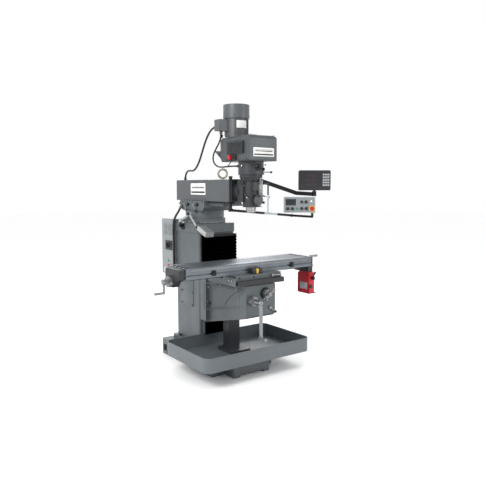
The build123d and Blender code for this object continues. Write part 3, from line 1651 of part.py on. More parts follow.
# ============================================================ table
trough_width = 26.0
trough_depth = 14.0
front_slot_z = 957.0
front_slot_height = 13.0
front_slot_depth = 14.0

# ------------------------------------------------------------ table
with BuildPart() as table:
    block((-table_half, table_half), (table_front_y, table_rear_y), (saddle_top_z + slide_gap, table_top_z))
    profile_yz(table_way(slide_gap), -table_half, table_half, Mode.SUBTRACT)
    for slot in (-1, 0, 1):
        slot_y = table_y + slot * slot_pitch
        block(
            (-table_half, table_half),
            (slot_y - slot_width / 2, slot_y + slot_width / 2),
            (table_top_z - slot_neck_height, table_top_z),
            Mode.SUBTRACT,
        )
        block(
            (-table_half, table_half),
            (slot_y - slot_foot_width / 2, slot_y + slot_foot_width / 2),
            (table_top_z - slot_neck_height - slot_foot_height, table_top_z - slot_neck_height),
            Mode.SUBTRACT,
        )
    for side in (-1, 1):
        trough = sorted((side * (table_half - 22), side * (table_half - 22 - trough_width)))
        block(
            trough,
            (table_front_y + 18, table_rear_y - 18),
            (table_top_z - trough_depth, table_top_z),
            Mode.SUBTRACT,
        )
    block(
        (-table_half, table_half),
        (table_front_y, table_front_y + front_slot_depth),
        (front_slot_z - front_slot_height / 2, front_slot_z + front_slot_height / 2),
        Mode.SUBTRACT,
    )
table.part.label = "table"
export_step(table.part, "parts/table.step")

# ------------------------------------------------------------ end_brackets
left_bracket_x = -table_half - 59
right_bracket_x = table_half + 54
bracket_bottom_z = 862.0
with BuildPart() as end_brackets:
    profile_yz(
        [
            (table_y - 140, table_top_z - 14),
            (table_y - 120, table_top_z - 6),
            (table_y + 70, table_top_z - 6),
            (table_y + 86, 990),
            (table_y + 86, 900),
            (table_y + 60, bracket_bottom_z - 6),
            (table_y - 40, bracket_bottom_z - 6),
            (table_y - 70, 900),
            (table_y - 140, 930),
        ],
        left_bracket_x,
        -table_half,
    )
    profile_yz(
        [
            (table_y - 110, table_top_z - 10),
            (table_y + 90, table_top_z - 10),
            (table_y + 90, bracket_bottom_z),
            (table_y - 110, bracket_bottom_z),
        ],
        table_half,
        right_bracket_x,
    )
    for low, high in ((left_bracket_x, -table_half), (table_half, right_bracket_x)):
        rod((low, table_y, lead_z), (high, table_y, lead_z), lead_radius + fit_gap, Mode.SUBTRACT)
end_brackets.part.label = "end_brackets"
export_step(end_brackets.part, "parts/end_brackets.step")

# ------------------------------------------------------------ lead_screw
lead_dial_radius = 48.0
left_crank_x = -806.0
right_crank_x = 818.0
crank_drop = 92.0
crank_rise = 90.0
crank_tail = 52.0
crank_arm_side = 16.0
lead_handle_length = 84.0
with BuildPart() as lead_screw:
    rod((left_crank_x - 6, table_y, lead_z), (right_crank_x + 6, table_y, lead_z), lead_radius)
    left_dial = left_bracket_x - air_gap
    rod((left_dial, table_y, lead_z), (left_dial - 26, table_y, lead_z), lead_dial_radius)
    rod((left_crank_x - 12, table_y, lead_z), (left_crank_x + 12, table_y, lead_z), 24)
    crank_half = crank_arm_side / 2
    block(
        (left_crank_x - crank_half, left_crank_x + crank_half),
        (table_y - crank_half, table_y + crank_half),
        (lead_z - crank_drop - 10, lead_z),
    )
    left_grip = (left_crank_x + 8, table_y, lead_z - crank_drop)
    rod(left_grip, (left_crank_x - lead_handle_length, table_y, lead_z - crank_drop), 9, tip_radius=12)
    rod((right_crank_x - 12, table_y, lead_z), (right_crank_x + 12, table_y, lead_z), 22)
    block(
        (right_crank_x - crank_half, right_crank_x + crank_half),
        (table_y - crank_half, table_y + crank_half),
        (lead_z - crank_tail, lead_z + crank_rise + 10),
    )
    right_grip = (right_crank_x - 8, table_y, lead_z + crank_rise)
    rod(right_grip, (right_crank_x + lead_handle_length, table_y, lead_z + crank_rise), 9, tip_radius=12)
lead_screw.part.label = "lead_screw"
export_step(lead_screw.part, "parts/lead_screw.step")

# ------------------------------------------------------------ power_feed
feed_left_x = table_half + 4
feed_right_x = table_half + 68
feed_front_y = -592.0
feed_rear_y = -426.0
feed_bottom_z = 652.0
feed_lever_axis = (feed_left_x + 38, 800.0)
feed_lever_radius = 8.0
with BuildPart() as power_feed:
    shoulder = 26.0
    profile_yz(
        [
            (feed_front_y, feed_bottom_z),
            (feed_rear_y, feed_bottom_z),
            (feed_rear_y, bracket_bottom_z - shoulder),
            (feed_rear_y - shoulder, bracket_bottom_z),
            (feed_front_y + shoulder, bracket_bottom_z),
            (feed_front_y, bracket_bottom_z - shoulder),
        ],
        feed_left_x,
        feed_right_x,
    )
    bearing_face_x = right_bracket_x
    rod((bearing_face_x, table_y, lead_z), (bearing_face_x + 46, table_y, lead_z), 46)
    rod(
        (bearing_face_x, table_y, lead_z),
        (bearing_face_x + 46, table_y, lead_z),
        lead_radius + fit_gap,
        Mode.SUBTRACT,
    )
    rod(
        (feed_lever_axis[0], feed_front_y, feed_lever_axis[1]),
        (feed_lever_axis[0], feed_front_y + 24, feed_lever_axis[1]),
        feed_lever_radius + fit_gap,
        Mode.SUBTRACT,
    )
power_feed.part.label = "power_feed"
export_step(power_feed.part, "parts/power_feed.step")

# ------------------------------------------------------------ feed_lever
with BuildPart() as feed_lever:
    lever_x, lever_z = feed_lever_axis
    rod((lever_x, feed_front_y + 22, lever_z), (lever_x, feed_front_y - 20, lever_z), feed_lever_radius)
    rod((lever_x, feed_front_y - air_gap, lever_z), (lever_x, feed_front_y - 22, lever_z), 17)
    rod((lever_x, feed_front_y - 14, lever_z), (lever_x + 10, feed_front_y - 22, lever_z + 46), 5)
    ball((lever_x + 11, feed_front_y - 23, lever_z + 52), 12)
feed_lever.part.label = "feed_lever"
export_step(feed_lever.part, "parts/feed_lever.step")
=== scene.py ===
"""Looks of a turret milling machine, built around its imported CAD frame.

Lengths are in millimetres until a piece is finished, and then in metres. The frame's
origin is on the floor between the anchor bolts, +X to the operator's right, -Y towards
the operator, +Z up.
"""

import json
from math import cos, pi, radians, sin

import bmesh
import bpy
from mathutils import Matrix, Vector


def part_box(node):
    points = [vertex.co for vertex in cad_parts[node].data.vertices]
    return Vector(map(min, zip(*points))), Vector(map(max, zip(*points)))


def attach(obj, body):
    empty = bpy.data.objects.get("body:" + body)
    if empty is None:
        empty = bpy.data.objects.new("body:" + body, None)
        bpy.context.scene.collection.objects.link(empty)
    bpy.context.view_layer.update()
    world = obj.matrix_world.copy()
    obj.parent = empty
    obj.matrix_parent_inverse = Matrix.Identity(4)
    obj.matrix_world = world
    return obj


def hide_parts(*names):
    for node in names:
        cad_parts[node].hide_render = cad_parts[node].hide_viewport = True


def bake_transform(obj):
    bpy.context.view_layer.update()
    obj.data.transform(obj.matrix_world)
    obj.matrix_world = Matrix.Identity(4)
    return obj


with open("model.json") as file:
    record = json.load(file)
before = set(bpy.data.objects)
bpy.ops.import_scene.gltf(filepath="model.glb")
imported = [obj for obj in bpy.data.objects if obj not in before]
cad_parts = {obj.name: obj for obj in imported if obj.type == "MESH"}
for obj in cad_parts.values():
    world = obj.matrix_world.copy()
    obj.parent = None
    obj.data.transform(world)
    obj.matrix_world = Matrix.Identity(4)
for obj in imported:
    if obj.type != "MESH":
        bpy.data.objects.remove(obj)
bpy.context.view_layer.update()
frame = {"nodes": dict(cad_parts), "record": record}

MM = 0.001
SCENE = bpy.context.scene


# ---- places in the frame
def span(node):
    """Lowest and highest corner of a CAD node, in millimetres."""
    low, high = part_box(node)
    return low / MM, high / MM


def joint_point(name):
    """A joint's place, in millimetres."""
    joint = next(item for item in frame["record"]["behaviour"]["joints"] if item["name"] == name)
    return Vector(joint["pos_m"]) / MM


# ---- camera
CAMERA_PLACE = Vector((-2.8713, -4.3699, 1.6701))
CAMERA_AZIMUTH = radians(36.23)
CAMERA_DROP = radians(5.81)
CAMERA_LENS = 40.42


def make_camera():
    """Camera at the machine's front left corner, a little above the table."""
    look = Vector((
        sin(CAMERA_AZIMUTH) * cos(CAMERA_DROP),
        cos(CAMERA_AZIMUTH) * cos(CAMERA_DROP),
        -sin(CAMERA_DROP),
    ))
    data = bpy.data.cameras.new("camera")
    data.sensor_width = 36.0
    data.lens = CAMERA_LENS
    camera = bpy.data.objects.new("camera", data)
    camera.location = CAMERA_PLACE
    camera.rotation_euler = look.to_track_quat("-Z", "Y").to_euler()
    SCENE.collection.objects.link(camera)
    SCENE.camera = camera


make_camera()


# ---- materials
def linear(red, green, blue):
    """A colour in 0 to 255 display values, as linear light."""
    def channel(value):
        value = value / 255
        return value / 12.92 if value <= 0.04045 else ((value + 0.055) / 1.055) ** 2.4
    return channel(red), channel(green), channel(blue), 1.0


class Shader:
    """A principled material and short calls for the nodes around it."""

    def __init__(self, name):
        self.material = bpy.data.materials.new(name)
        self.material.use_nodes = True
        self.nodes = self.material.node_tree.nodes
        self.links = self.material.node_tree.links
        self.surface = self.nodes["Principled BSDF"]
        self.place = self.nodes.new("ShaderNodeTexCoord").outputs["Object"]

    def set(self, **values):
        for name, value in values.items():
            self.surface.inputs[name.replace("_", " ")].default_value = value

    def noise(self, scale, detail=4.0, stretch=None):
        place = self.place
        if stretch:
            mapping = self.nodes.new("ShaderNodeMapping")
            mapping.inputs["Scale"].default_value = stretch
            self.links.new(place, mapping.inputs["Vector"])
            place = mapping.outputs["Vector"]
        node = self.nodes.new("ShaderNodeTexNoise")
        node.inputs["Scale"].default_value = scale
        node.inputs["Detail"].default_value = detail
        self.links.new(place, node.inputs["Vector"])
        return node.outputs["Fac"]

    def remap(self, source, low, high, from_low=0.3, from_high=0.7):
        node = self.nodes.new("ShaderNodeMapRange")
        node.inputs["From Min"].default_value = from_low
        node.inputs["From Max"].default_value = from_high
        node.inputs["To Min"].default_value = low
        node.inputs["To Max"].default_value = high
        self.links.new(source, node.inputs["Value"])
        return node.outputs["Result"]

    def mix(self, factor, first, second):
        node = self.nodes.new("ShaderNodeMix")
        node.data_type = "RGBA"
        self.links.new(factor, node.inputs["Factor"])
        for socket, value in ((node.inputs[6], first), (node.inputs[7], second)):
            if isinstance(value, tuple):
                socket.default_value = value
            else:
                self.links.new(value, socket)
        return node.outputs[2]

    def math(self, operation, first, second):
        node = self.nodes.new("ShaderNodeMath")
        node.operation = operation
        for socket, value in zip(node.inputs, (first, second)):
            if isinstance(value, float):
                socket.default_value = value
            else:
                self.links.new(value, socket)
        return node.outputs[0]

    def rounded(self, radius):
        """Normal that runs smoothly over the sharp edges of a casting."""
        node = self.nodes.new("ShaderNodeBevel")
        node.samples = 4
        node.inputs["Radius"].default_value = radius
        return node.outputs["Normal"]

    def edges(self, normal):
        """1 on a rounded edge and 0 on a flat face."""
        geometry = self.nodes.new("ShaderNodeNewGeometry")
        node = self.nodes.new("ShaderNodeVectorMath")
        node.operation = "DOT_PRODUCT"
        self.links.new(normal, node.inputs[0])
        self.links.new(geometry.outputs["Normal"], node.inputs[1])
        return self.remap(node.outputs["Value"], 1.0, 0.0, 0.82, 0.985)

    def bump(self, height, strength, distance, normal=None):
        node = self.nodes.new("ShaderNodeBump")
        node.inputs["Strength"].default_value = strength
        node.inputs["Distance"].default_value = distance
        self.links.new(height, node.inputs["Height"])
        if normal is not None:
            self.links.new(normal, node.inputs["Normal"])
        self.links.new(node.outputs["Normal"], self.surface.inputs["Normal"])

    def colour(self, output):
        self.links.new(output, self.surface.inputs["Base Color"])

    def roughness(self, output):
        self.links.new(output, self.surface.inputs["Roughness"])


def shade(colour, factor):
    """The same hue, lighter or darker."""
    return tuple(min(1.0, value * factor) for value in colour[:3]) + (1.0,)


def paint(name, colour, roughness=0.42, edge_radius=0.004, wear=0.35):
    """Enamel on an iron casting: slight mottling, orange peel, and edges rubbed lighter."""
    shader = Shader(name)
    normal = shader.rounded(edge_radius)
    tint = shader.remap(shader.noise(2.2, 5.0), 0.0, 1.0)
    base = shader.mix(tint, shade(colour, 0.9), shade(colour, 1.08))
    dust = shader.remap(shader.noise(38.0, 6.0), 0.0, 0.22, 0.5, 0.8)
    base = shader.mix(dust, base, shade(colour, 1.35))
    rub = shader.math("MULTIPLY", shader.edges(normal), shader.remap(shader.noise(24.0), 0.0, wear))
    shader.colour(shader.mix(rub, base, shade(colour, 1.9)))
    shader.roughness(shader.remap(shader.noise(9.0, 6.0), roughness - 0.08, roughness + 0.1))
    shader.bump(shader.noise(420.0, 3.0), 0.16, 0.0006, normal)
    shader.set(Coat_Weight=0.12, Coat_Roughness=0.3)
    return shader.material


def machined(name, colour, roughness=0.3, grain=(4.0, 260.0, 260.0)):
    """Ground or turned steel, with fine tool marks in one direction."""
    shader = Shader(name)
    normal = shader.rounded(0.0012)
    marks = shader.noise(1.0, 4.0, grain)
    stain = shader.remap(shader.noise(7.0, 6.0), 0.0, 1.0)
    base = shader.mix(stain, shade(colour, 0.86), shade(colour, 1.06))
    shader.colour(shader.mix(shader.remap(marks, 0.0, 0.3), base, shade(colour, 0.8)))
    shader.roughness(shader.remap(marks, roughness - 0.08, roughness + 0.14))
    shader.bump(marks, 0.12, 0.0003, normal)
    shader.set(Metallic=0.85)
    return shader.material


def plastic(name, colour, roughness=0.45, texture=700.0):
    """Moulded plastic or rubber with a fine grain."""
    shader = Shader(name)
    normal = shader.rounded(0.0012)
    mottle = shader.remap(shader.noise(12.0, 5.0), 0.0, 1.0)
    shader.colour(shader.mix(mottle, shade(colour, 0.88), shade(colour, 1.12)))
    shader.roughness(shader.remap(shader.noise(30.0), roughness - 0.07, roughness + 0.1))
    shader.bump(shader.noise(texture, 2.0), 0.2, 0.0003, normal)
    return shader.material


def clear_sheet(name):
    """Clear shield, faintly scratched."""
    shader = Shader(name)
    scratches = shader.noise(60.0, 6.0, (1.0, 1.0, 5.0))
    streaks = shader.remap(scratches, 0.0, 1.0)
    shader.colour(shader.mix(streaks, linear(214, 226, 228), linear(236, 242, 243)))
    shader.roughness(shader.remap(scratches, 0.08, 0.22))
    shader.set(Alpha=0.3, Specular_IOR_Level=0.6)
    return shader.material


def glowing(name, colour, strength):
    """Lit lens of a lamp or a screen."""
    shader = Shader(name)
    cells = shader.remap(shader.noise(160.0, 2.0), 0.0, 1.0)
    shader.colour(shader.mix(cells, shade(colour, 0.85), colour))
    shader.set(Roughness=0.25, Emission_Color=colour, Emission_Strength=strength)
    return shader.material


CASTING = paint("casting_enamel", linear(74, 80, 83))
PAN_PAINT = paint("pan_enamel", linear(87, 93, 97), 0.38)
RAM_PAINT = paint("ram_enamel", linear(68, 71, 74))
HEAD_PAINT = paint("head_enamel", linear(58, 62, 66), 0.4)
# Painted shade: the grey enamel darkened on the gear housing and the knee screw post, to stand for the shade
# that falls on them.
SHADE_DARKENED_PAINT = paint("enamel_darkened_as_painted_shade", linear(38, 41, 45), 0.42)
# Dark enamel: on the head casting and its adapter this near-black is painted shade; on the end brackets and
# the badge marks it is their own dark colour.
DARK_ENAMEL_AND_SHADE = paint("dark_enamel_and_painted_shade", linear(25, 27, 30), 0.45)
MOTOR_PAINT = paint("motor_enamel", linear(74, 77, 80), 0.42)
CABINET_PAINT = paint("cabinet_powder_coat", linear(126, 130, 133), 0.5, 0.002, 0.15)
GROUND = machined("ground_iron", linear(114, 120, 126), 0.38)
STEEL = machined("turned_steel", linear(138, 140, 142), 0.3, (180.0, 180.0, 20.0))
TOOL_STEEL = machined("tool_steel", linear(78, 79, 82), 0.34, (120.0, 120.0, 60.0))
SILVER = machined("cast_aluminium", linear(188, 189, 190), 0.42, (90.0, 90.0, 90.0))
FORGED = machined("forged_steel", linear(172, 166, 154), 0.42, (60.0, 60.0, 60.0))
CHROME = machined("hard_chrome", linear(182, 183, 184), 0.18, (40.0, 40.0, 220.0))
BLACKED = machined("black_oxide", linear(44, 45, 48), 0.42, (90.0, 90.0, 90.0))
BLACK = plastic("black_plastic", linear(30, 31, 34))
RUBBER = plastic("way_cover_rubber", linear(24, 29, 33), 0.6, 300.0)
SHEATH = plastic("cable_sheath", linear(16, 16, 17), 0.4)
GREY_PLASTIC = plastic("grey_plastic", linear(158, 161, 165), 0.42)
WHITE = plastic("white_plastic", linear(222, 222, 220), 0.35)
RED = plastic("red_plastic", linear(172, 14, 32), 0.34)
GREEN = plastic("green_plastic", linear(28, 132, 74), 0.34)
YELLOW = plastic("yellow_plastic", linear(214, 176, 38), 0.4)
SCREEN = glowing("screen_glass", linear(24, 27, 34), 0.02)
DIGITS = glowing("screen_digits", linear(98, 50, 50), 0.06)
LENS = glowing("lamp_lens", linear(226, 228, 226), 0.25)
CLEAR = clear_sheet("clear_shield")

# the record's slot of a piece in each material, unless the piece says another
SLOTS = {
    CASTING.name: "casting_paint", PAN_PAINT.name: "pan_paint", MOTOR_PAINT.name: "dark_paint",
    DARK_ENAMEL_AND_SHADE.name: "dark_paint", CABINET_PAINT.name: "cabinet_paint", STEEL.name: "plain_steel",
    CHROME.name: "bright_steel", BLACKED.name: "black_oxide", BLACK.name: "black_plastic",
    RUBBER.name: "rubber_sheet", SHEATH.name: "cable_rubber", GREY_PLASTIC.name: "grey_plastic",
    WHITE.name: "white_plastic",
}
NODE_MATERIALS = (
    (CASTING, "base_casting column knee saddle turret_base ram_saddle"),
    (BLACK, "saddle_cover main_switch_knob dro_display speed_knob"),
    (RAM_PAINT, "ram"),
    (PAN_PAINT, "chip_pan"),
    # painted shade on the gear housing and the knee screw post
    (SHADE_DARKENED_PAINT, "knee_screw_post gear_housing"),
    (CABINET_PAINT, "electrical_cabinet cabinet_door"),
    (HEAD_PAINT, "belt_cover"),
    (MOTOR_PAINT, "motor_box motor_housing motor_cowl"),
    # painted shade on the head casting and head adapter; the end brackets are really dark
    (DARK_ENAMEL_AND_SHADE, "head_casting head_adapter end_brackets"),
    (GROUND, "table"),
    (BLACKED, "column_bolts turret_bolts light_base arm_brackets dro_arm pendant_arm feed_lever"),
    (SILVER, "light_arm light_forearm light_head"),
    (GREY_PLASTIC, "pendant_panel"),
    (RED, "estop_button head_switch power_feed"),
    (RUBBER, "drive_belt column_way_cover lower_way_cover"),
    (STEEL, (
        "motor_rotor spindle_pulley spindle_bearings drawbar knee_screw knee_crank cross_screw "
        "saddle_lock lead_screw"
    )),
    (CHROME, "quill spindle"),
    (TOOL_STEEL, "quill_pinion fine_feed_wheel brake_lever"),
    (CLEAR, "chip_shield"),
    (FORGED, "eyebolt"),
    (SHEATH, "motor_cable head_lead ram_conduit"),
)
for node_material, node_names in NODE_MATERIALS:
    for node_name in node_names.split():
        node_mesh = frame["nodes"][node_name].data
        node_mesh.materials.clear()
        node_mesh.materials.append(node_material)


# ---- mesh building
def turn_to(axis, origin):
    """Matrix that takes +Z to an axis and zero to a point."""
    return Matrix.Translation(Vector(origin)) @ Vector(axis).to_track_quat("Z", "Y").to_matrix().to_4x4()


def fair_line(points, resolution=10):
    """Points along the smooth line whose control points are given."""
    data = bpy.data.curves.new("line", "CURVE")
    data.dimensions = "3D"
    spline = data.splines.new("NURBS")
    spline.points.add(len(points) - 1)
    for knot, point in zip(spline.points, points):
        knot.co = (*point, 1.0)
    spline.order_u = 3
    spline.use_endpoint_u = True
    spline.resolution_u = resolution
    carrier = bpy.data.objects.new("line", data)
    mesh = bpy.data.meshes.new_from_object(carrier)
    line = [vertex.co.copy() for vertex in mesh.vertices]
    bpy.data.objects.remove(carrier)
    bpy.data.curves.remove(data)
    bpy.data.meshes.remove(mesh)
    return line


def soften(part, edges, offset):
    """Rounds edges of a shape that is being made."""
    bmesh.ops.bevel(part, geom=edges, offset=offset, segments=2, profile=0.5, affect="EDGES")


class Piece:
    """Collects shapes in millimetres, then makes one object that rides on a body."""

    def __init__(self, name, body, material, slot=None):
        self.name = name
        self.body = body
        self.material = material
        self.slot = slot or SLOTS[material.name]
        self.form = bmesh.new()

    def take(self, part, matrix=None):
        """Adds a shape, moved by a matrix, and hands the piece back."""
        if matrix is not None:
            bmesh.ops.transform(part, matrix=matrix, verts=part.verts)
        mesh = bpy.data.meshes.new("part")
        part.to_mesh(mesh)
        part.free()
        self.form.from_mesh(mesh)
        bpy.data.meshes.remove(mesh)
        return self

    def block(self, x, y, z, edge=1.5, matrix=None):
        """Box between limits, with rounded edges."""
        part = bmesh.new()
        bmesh.ops.create_cube(part, size=1.0)
        size = Vector((x[1] - x[0], y[1] - y[0], z[1] - z[0]))
        middle = Vector((sum(x), sum(y), sum(z))) / 2
        placed = Matrix.Translation(middle) @ Matrix.Diagonal((*size, 1.0))
        bmesh.ops.transform(part, matrix=placed, verts=part.verts)
        edge = min(edge, 0.3 * min(size))
        if edge > 0:
            soften(part, part.edges[:], edge)
        return self.take(part, matrix)

    def prism(self, outline, depth, matrix, edge=1.0):
        """Flat outline in the XY plane pushed along +Z, then moved by a matrix."""
        part = bmesh.new()
        face = part.faces.new([part.verts.new((x, y, 0.0)) for x, y in outline])
        grown = bmesh.ops.extrude_face_region(part, geom=[face])
        top = [item for item in grown["geom"] if isinstance(item, bmesh.types.BMVert)]
        bmesh.ops.translate(part, verts=top, vec=(0.0, 0.0, depth))
        bmesh.ops.recalc_face_normals(part, faces=part.faces[:])
        if edge > 0:
            rims = [item for item in part.edges if abs(item.verts[0].co.z - item.verts[1].co.z) < 1e-6]
            soften(part, rims, edge)
        return self.take(part, matrix)

    def turned(self, profile, origin, axis, steps=40):
        """Turned shape: (distance along the axis, radius) pairs about an axis."""
        part = bmesh.new()
        rings = []
        for distance, radius in profile:
            if radius < 0.01:
                rings.append([part.verts.new((0.0, 0.0, distance))])
                continue
            turns = [2 * pi * step / steps for step in range(steps)]
            rings.append([
                part.verts.new((radius * cos(turn), radius * sin(turn), distance)) for turn in turns
            ])
        for lower, upper in zip(rings, rings[1:]):
            for step in range(steps):
                after = (step + 1) % steps
                if len(lower) == 1 and len(upper) == 1:
                    continue
                if len(lower) == 1:
                    part.faces.new((lower[0], upper[step], upper[after]))
                elif len(upper) == 1:
                    part.faces.new((lower[step], lower[after], upper[0]))
                else:
                    part.faces.new((lower[step], lower[after], upper[after], upper[step]))
        for ring in (rings[0], rings[-1]):
            if len(ring) > 1:
                part.faces.new(ring)
        bmesh.ops.recalc_face_normals(part, faces=part.faces[:])
        return self.take(part, turn_to(axis, origin))

    def rod(self, start, end, radius, tip=None, chamfer=0.8, steps=28):
        """Round bar with chamfered ends."""
        run = Vector(end) - Vector(start)
        tip = radius if tip is None else tip
        chamfer = min(chamfer, 0.4 * radius, 0.4 * tip, 0.3 * run.length)
        far = run.length
        profile = [(0, radius - chamfer), (chamfer, radius), (far - chamfer, tip), (far, tip - chamfer)]
        return self.turned(profile, start, run, steps)

    def hexagon(self, base, axis, across, height):
        """Hexagon bolt head with a chamfered top and a washer."""
        self.turned([(0, across * 0.66), (1.4, across * 0.66)], base, axis, 24)
        corner = across / 2 / cos(pi / 6)
        outline = [(corner * cos(pi * k / 3), corner * sin(pi * k / 3)) for k in range(6)]
        self.prism(outline, height, turn_to(axis, base), 0.9)

    def socket_screw(self, base, axis, radius, height):
        """Socket head screw with its hollow."""
        hollow = 0.5 * radius
        head = [(0, radius), (height - 0.6, radius), (height, radius - 0.6)]
        profile = head + [(height, hollow), (0.4 * height, hollow)]
        self.turned(profile, base, axis, 20)

    def side_screws(self, x, places_y, places_z, way, radius, height):
        """Socket screws in rows on a face across X."""
        for y in places_y:
            for z in places_z:
                self.socket_screw((x, y, z), (way, 0, 0), radius, height)

    def tube(self, points, radius, steps=14, fair=True, radii=None):
        """Round bar along a smooth line, with closed ends."""
        line = fair_line(points) if fair else [Vector(point) for point in points]
        part = bmesh.new()
        side = (line[1] - line[0]).orthogonal().normalized()
        rings = []
        for index, point in enumerate(line):
            ahead = line[min(index + 1, len(line) - 1)] - line[max(index - 1, 0)]
            ahead.normalize()
            side = (side - ahead * side.dot(ahead)).normalized()
            other = ahead.cross(side)
            share = index / (len(line) - 1)
            size = radius if radii is None else radii(share)
            turns = [2 * pi * k / steps for k in range(steps)]
            rings.append([
                part.verts.new(point + (side * cos(turn) + other * sin(turn)) * size) for turn in turns
            ])
        for lower, upper in zip(rings, rings[1:]):
            for k in range(steps):
                after = (k + 1) % steps
                part.faces.new((lower[k], lower[after], upper[after], upper[k]))
        part.faces.new(rings[0][::-1])
        part.faces.new(rings[-1])
        bmesh.ops.recalc_face_normals(part, faces=part.faces[:])
        return self.take(part)

    def finish(self, replaces=(), smooth=38.0, ride=True):
        mesh = bpy.data.meshes.new(self.name)
        bmesh.ops.scale(self.form, vec=(MM, MM, MM), verts=self.form.verts)
        self.form.to_mesh(mesh)
        self.form.free()
        mesh.shade_smooth()
        mesh.set_sharp_from_angle(angle=radians(smooth))
        mesh.materials.append(self.material)
        item = bpy.data.objects.new(self.name, mesh)
        SCENE.collection.objects.link(item)
        if ride:
            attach(item, self.body)
        if replaces:
            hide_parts(*replaces)
        return item


# ---- cords
MOTOR_CABLE = (
    (-150, -273.4, 2205), (-151, -236, 2204), (-156, -180, 2180), (-160, -130, 2130), (-162, -84, 2064),
    (-158, -34, 1990), (-148, 26, 1918), (-134, 102, 1858), (-120, 182, 1826), (-107, 258, 1830),
    (-95, 322, 1832), (-88, 372, 1814), (-84, 400, 1782), (-82, 406.5, 1741.6),
)
HEAD_LEAD = (
    (-150, -336, 2137.3), (-151, -334, 2106), (-156, -318, 2062), (-165, -286, 2016), (-173, -252, 1968),
    (-175, -240, 1918), (-171, -262, 1874), (-161, -302, 1850), (-154, -352, 1845), (-150, -402, 1847),
    (-146, -450, 1848), (-130, -484, 1850), (-101, -505.3, 1850),
)
RAM_CONDUIT = (
    (-178, 350, 1462.8), (-190, 362, 1429.5), (-214, 386, 1380), (-228, 401, 1318),
    (-230, 403, 1230), (-227, 402, 1120), (-228, 403, 1000), (-227, 402, 886.2),
)


def lay_cord(name, points, radius, node, body, ribbed=False):
    """A lead along its route; a ribbed one is a flexible conduit."""
    piece = Piece(name, body, SHEATH)
    line = fair_line(points, 24 if ribbed else 12)
    steps = len(line)
    size = None
    if ribbed:
        def size(share):
            return radius * (0.93 + 0.07 * cos(pi * round(share * (steps - 1))))
    piece.tube(line, radius, steps=16, fair=False, radii=size)
    item = piece.finish(replaces=(node,), smooth=80.0, ride=body is not None)
    return item


MOTOR_LEAD_RADIUS = 9.0
SELECTOR_LEAD_RADIUS = 7.0
CONDUIT_RADIUS = 11.0
cable = lay_cord("motor_lead", MOTOR_CABLE, MOTOR_LEAD_RADIUS, "motor_cable", None)
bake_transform(cable)
lay_cord("selector_lead", HEAD_LEAD, SELECTOR_LEAD_RADIUS, "head_lead", "head")
conduit = lay_cord("column_conduit", RAM_CONDUIT, CONDUIT_RADIUS, "ram_conduit", None, ribbed=True)
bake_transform(conduit)


def relief(name, body, start, end, radius):
    """Gland nut and a ribbed strain relief that narrows towards the cord."""
    piece = Piece(name, body, BLACK)
    run = Vector(end) - Vector(start)
    length = run.length
    profile = [(0, radius * 1.55), (0.3 * length, radius * 1.55), (0.34 * length, radius * 1.3)]
    for ring in range(4):
        low = (0.36 + 0.15 * ring) * length
        size = radius * (1.36 - 0.06 * ring)
        neck = 0.9 * size
        profile += [(low, size), (low + 0.09 * length, size)]
        profile += [(low + 0.1 * length, neck), (low + 0.14 * length, neck)]
    profile.append((length, radius * 1.04))
    piece.turned(profile, start, run, 18)
    return piece.finish()


relief("motor_lead_relief", "head", (-150, -276, 2205), (-151, -238, 2204), MOTOR_LEAD_RADIUS)
relief("selector_lead_relief", "head", (-150, -336, 2139), (-151, -334, 2108), SELECTOR_LEAD_RADIUS)
relief("ram_lead_relief", "ram", (-82, 406.5, 1740), (-84, 401, 1776), MOTOR_LEAD_RADIUS)

# ---- base and pan
feet = Piece("anchor_nuts", "frame", BLACKED)
anchor = next(item for item in frame["record"]["mounts"] if item["name"] == "anchor_bolts")["dims"]
anchor_half_x = anchor["spacing_x_mm"] / 2
anchor_half_y = anchor["spacing_y_mm"] / 2
FOOT_TOP = 34.0
for side_x in (-anchor_half_x, anchor_half_x):
    for side_y in (-anchor_half_y, anchor_half_y):
        feet.hexagon((side_x, side_y, FOOT_TOP), (0, 0, 1), 26, 14)
        feet.rod((side_x, side_y, FOOT_TOP), (side_x, side_y, FOOT_TOP + 30), 8)
feet.finish()

pan_low, pan_high = span("chip_pan")
PAN_CORNER = 62.0


def pan_outline(inset, height, steps=6):
    """Rounded outline around the pan, a little inside its edge."""
    points = []
    left, right = pan_low.x + PAN_CORNER, pan_high.x - PAN_CORNER
    front, back = pan_low.y + PAN_CORNER, pan_high.y - PAN_CORNER
    centres = ((right, back, 0), (left, back, 90), (left, front, 180), (right, front, 270))
    for centre_x, centre_y, first in centres:
        for step in range(steps + 1):
            angle = radians(first + 90 * step / steps)
            reach = PAN_CORNER - inset
            points.append(Vector((centre_x + reach * cos(angle), centre_y + reach * sin(angle), height)))
    points.append(points[0])
    return points


Piece("pan_lip", "frame", PAN_PAINT).tube(pan_outline(3.0, pan_high.z), 5.5, steps=10, fair=False).finish()
drain = Piece("drain_strainer", "frame", CHROME)
drain_place = Vector((482, -132, 157))
DRAIN_RING = 8.5
drain.turned([(0, 24), (2.5, 24), (3.5, 22), (3.5, 15), (1.5, 14)], drain_place, (0, 0, 1), 28)
for hole in range(7):
    offset = 0 if hole == 0 else DRAIN_RING
    place = drain_place + Vector((offset * cos(hole), offset * sin(hole), 0.2))
    drain.turned([(0, 3.2), (2.6, 3.2), (2.6, 1.7), (0.4, 1.7)], place, (0, 0, 1), 12)
drain.finish()

# ---- column
COLUMN_SIDE = -200.0
PLATE_THICKNESS = 5.0
plate = Piece("column_cover_plate", "frame", CASTING)
plate.block((COLUMN_SIDE - PLATE_THICKNESS, COLUMN_SIDE + 1), (70, 300), (520, 800), 2.5)
plate.finish()
screws = Piece("column_cover_screws", "frame", BLACKED)
screws.side_screws(COLUMN_SIDE - PLATE_THICKNESS, (86, 284), (536, 660, 784), -1, 6, 5)
screws.finish()

cover_low, cover_high = span("column_way_cover")
FOLD_STEPS = 8
COVER_COLUMNS = 12
COVER_THICKNESS = 2.0


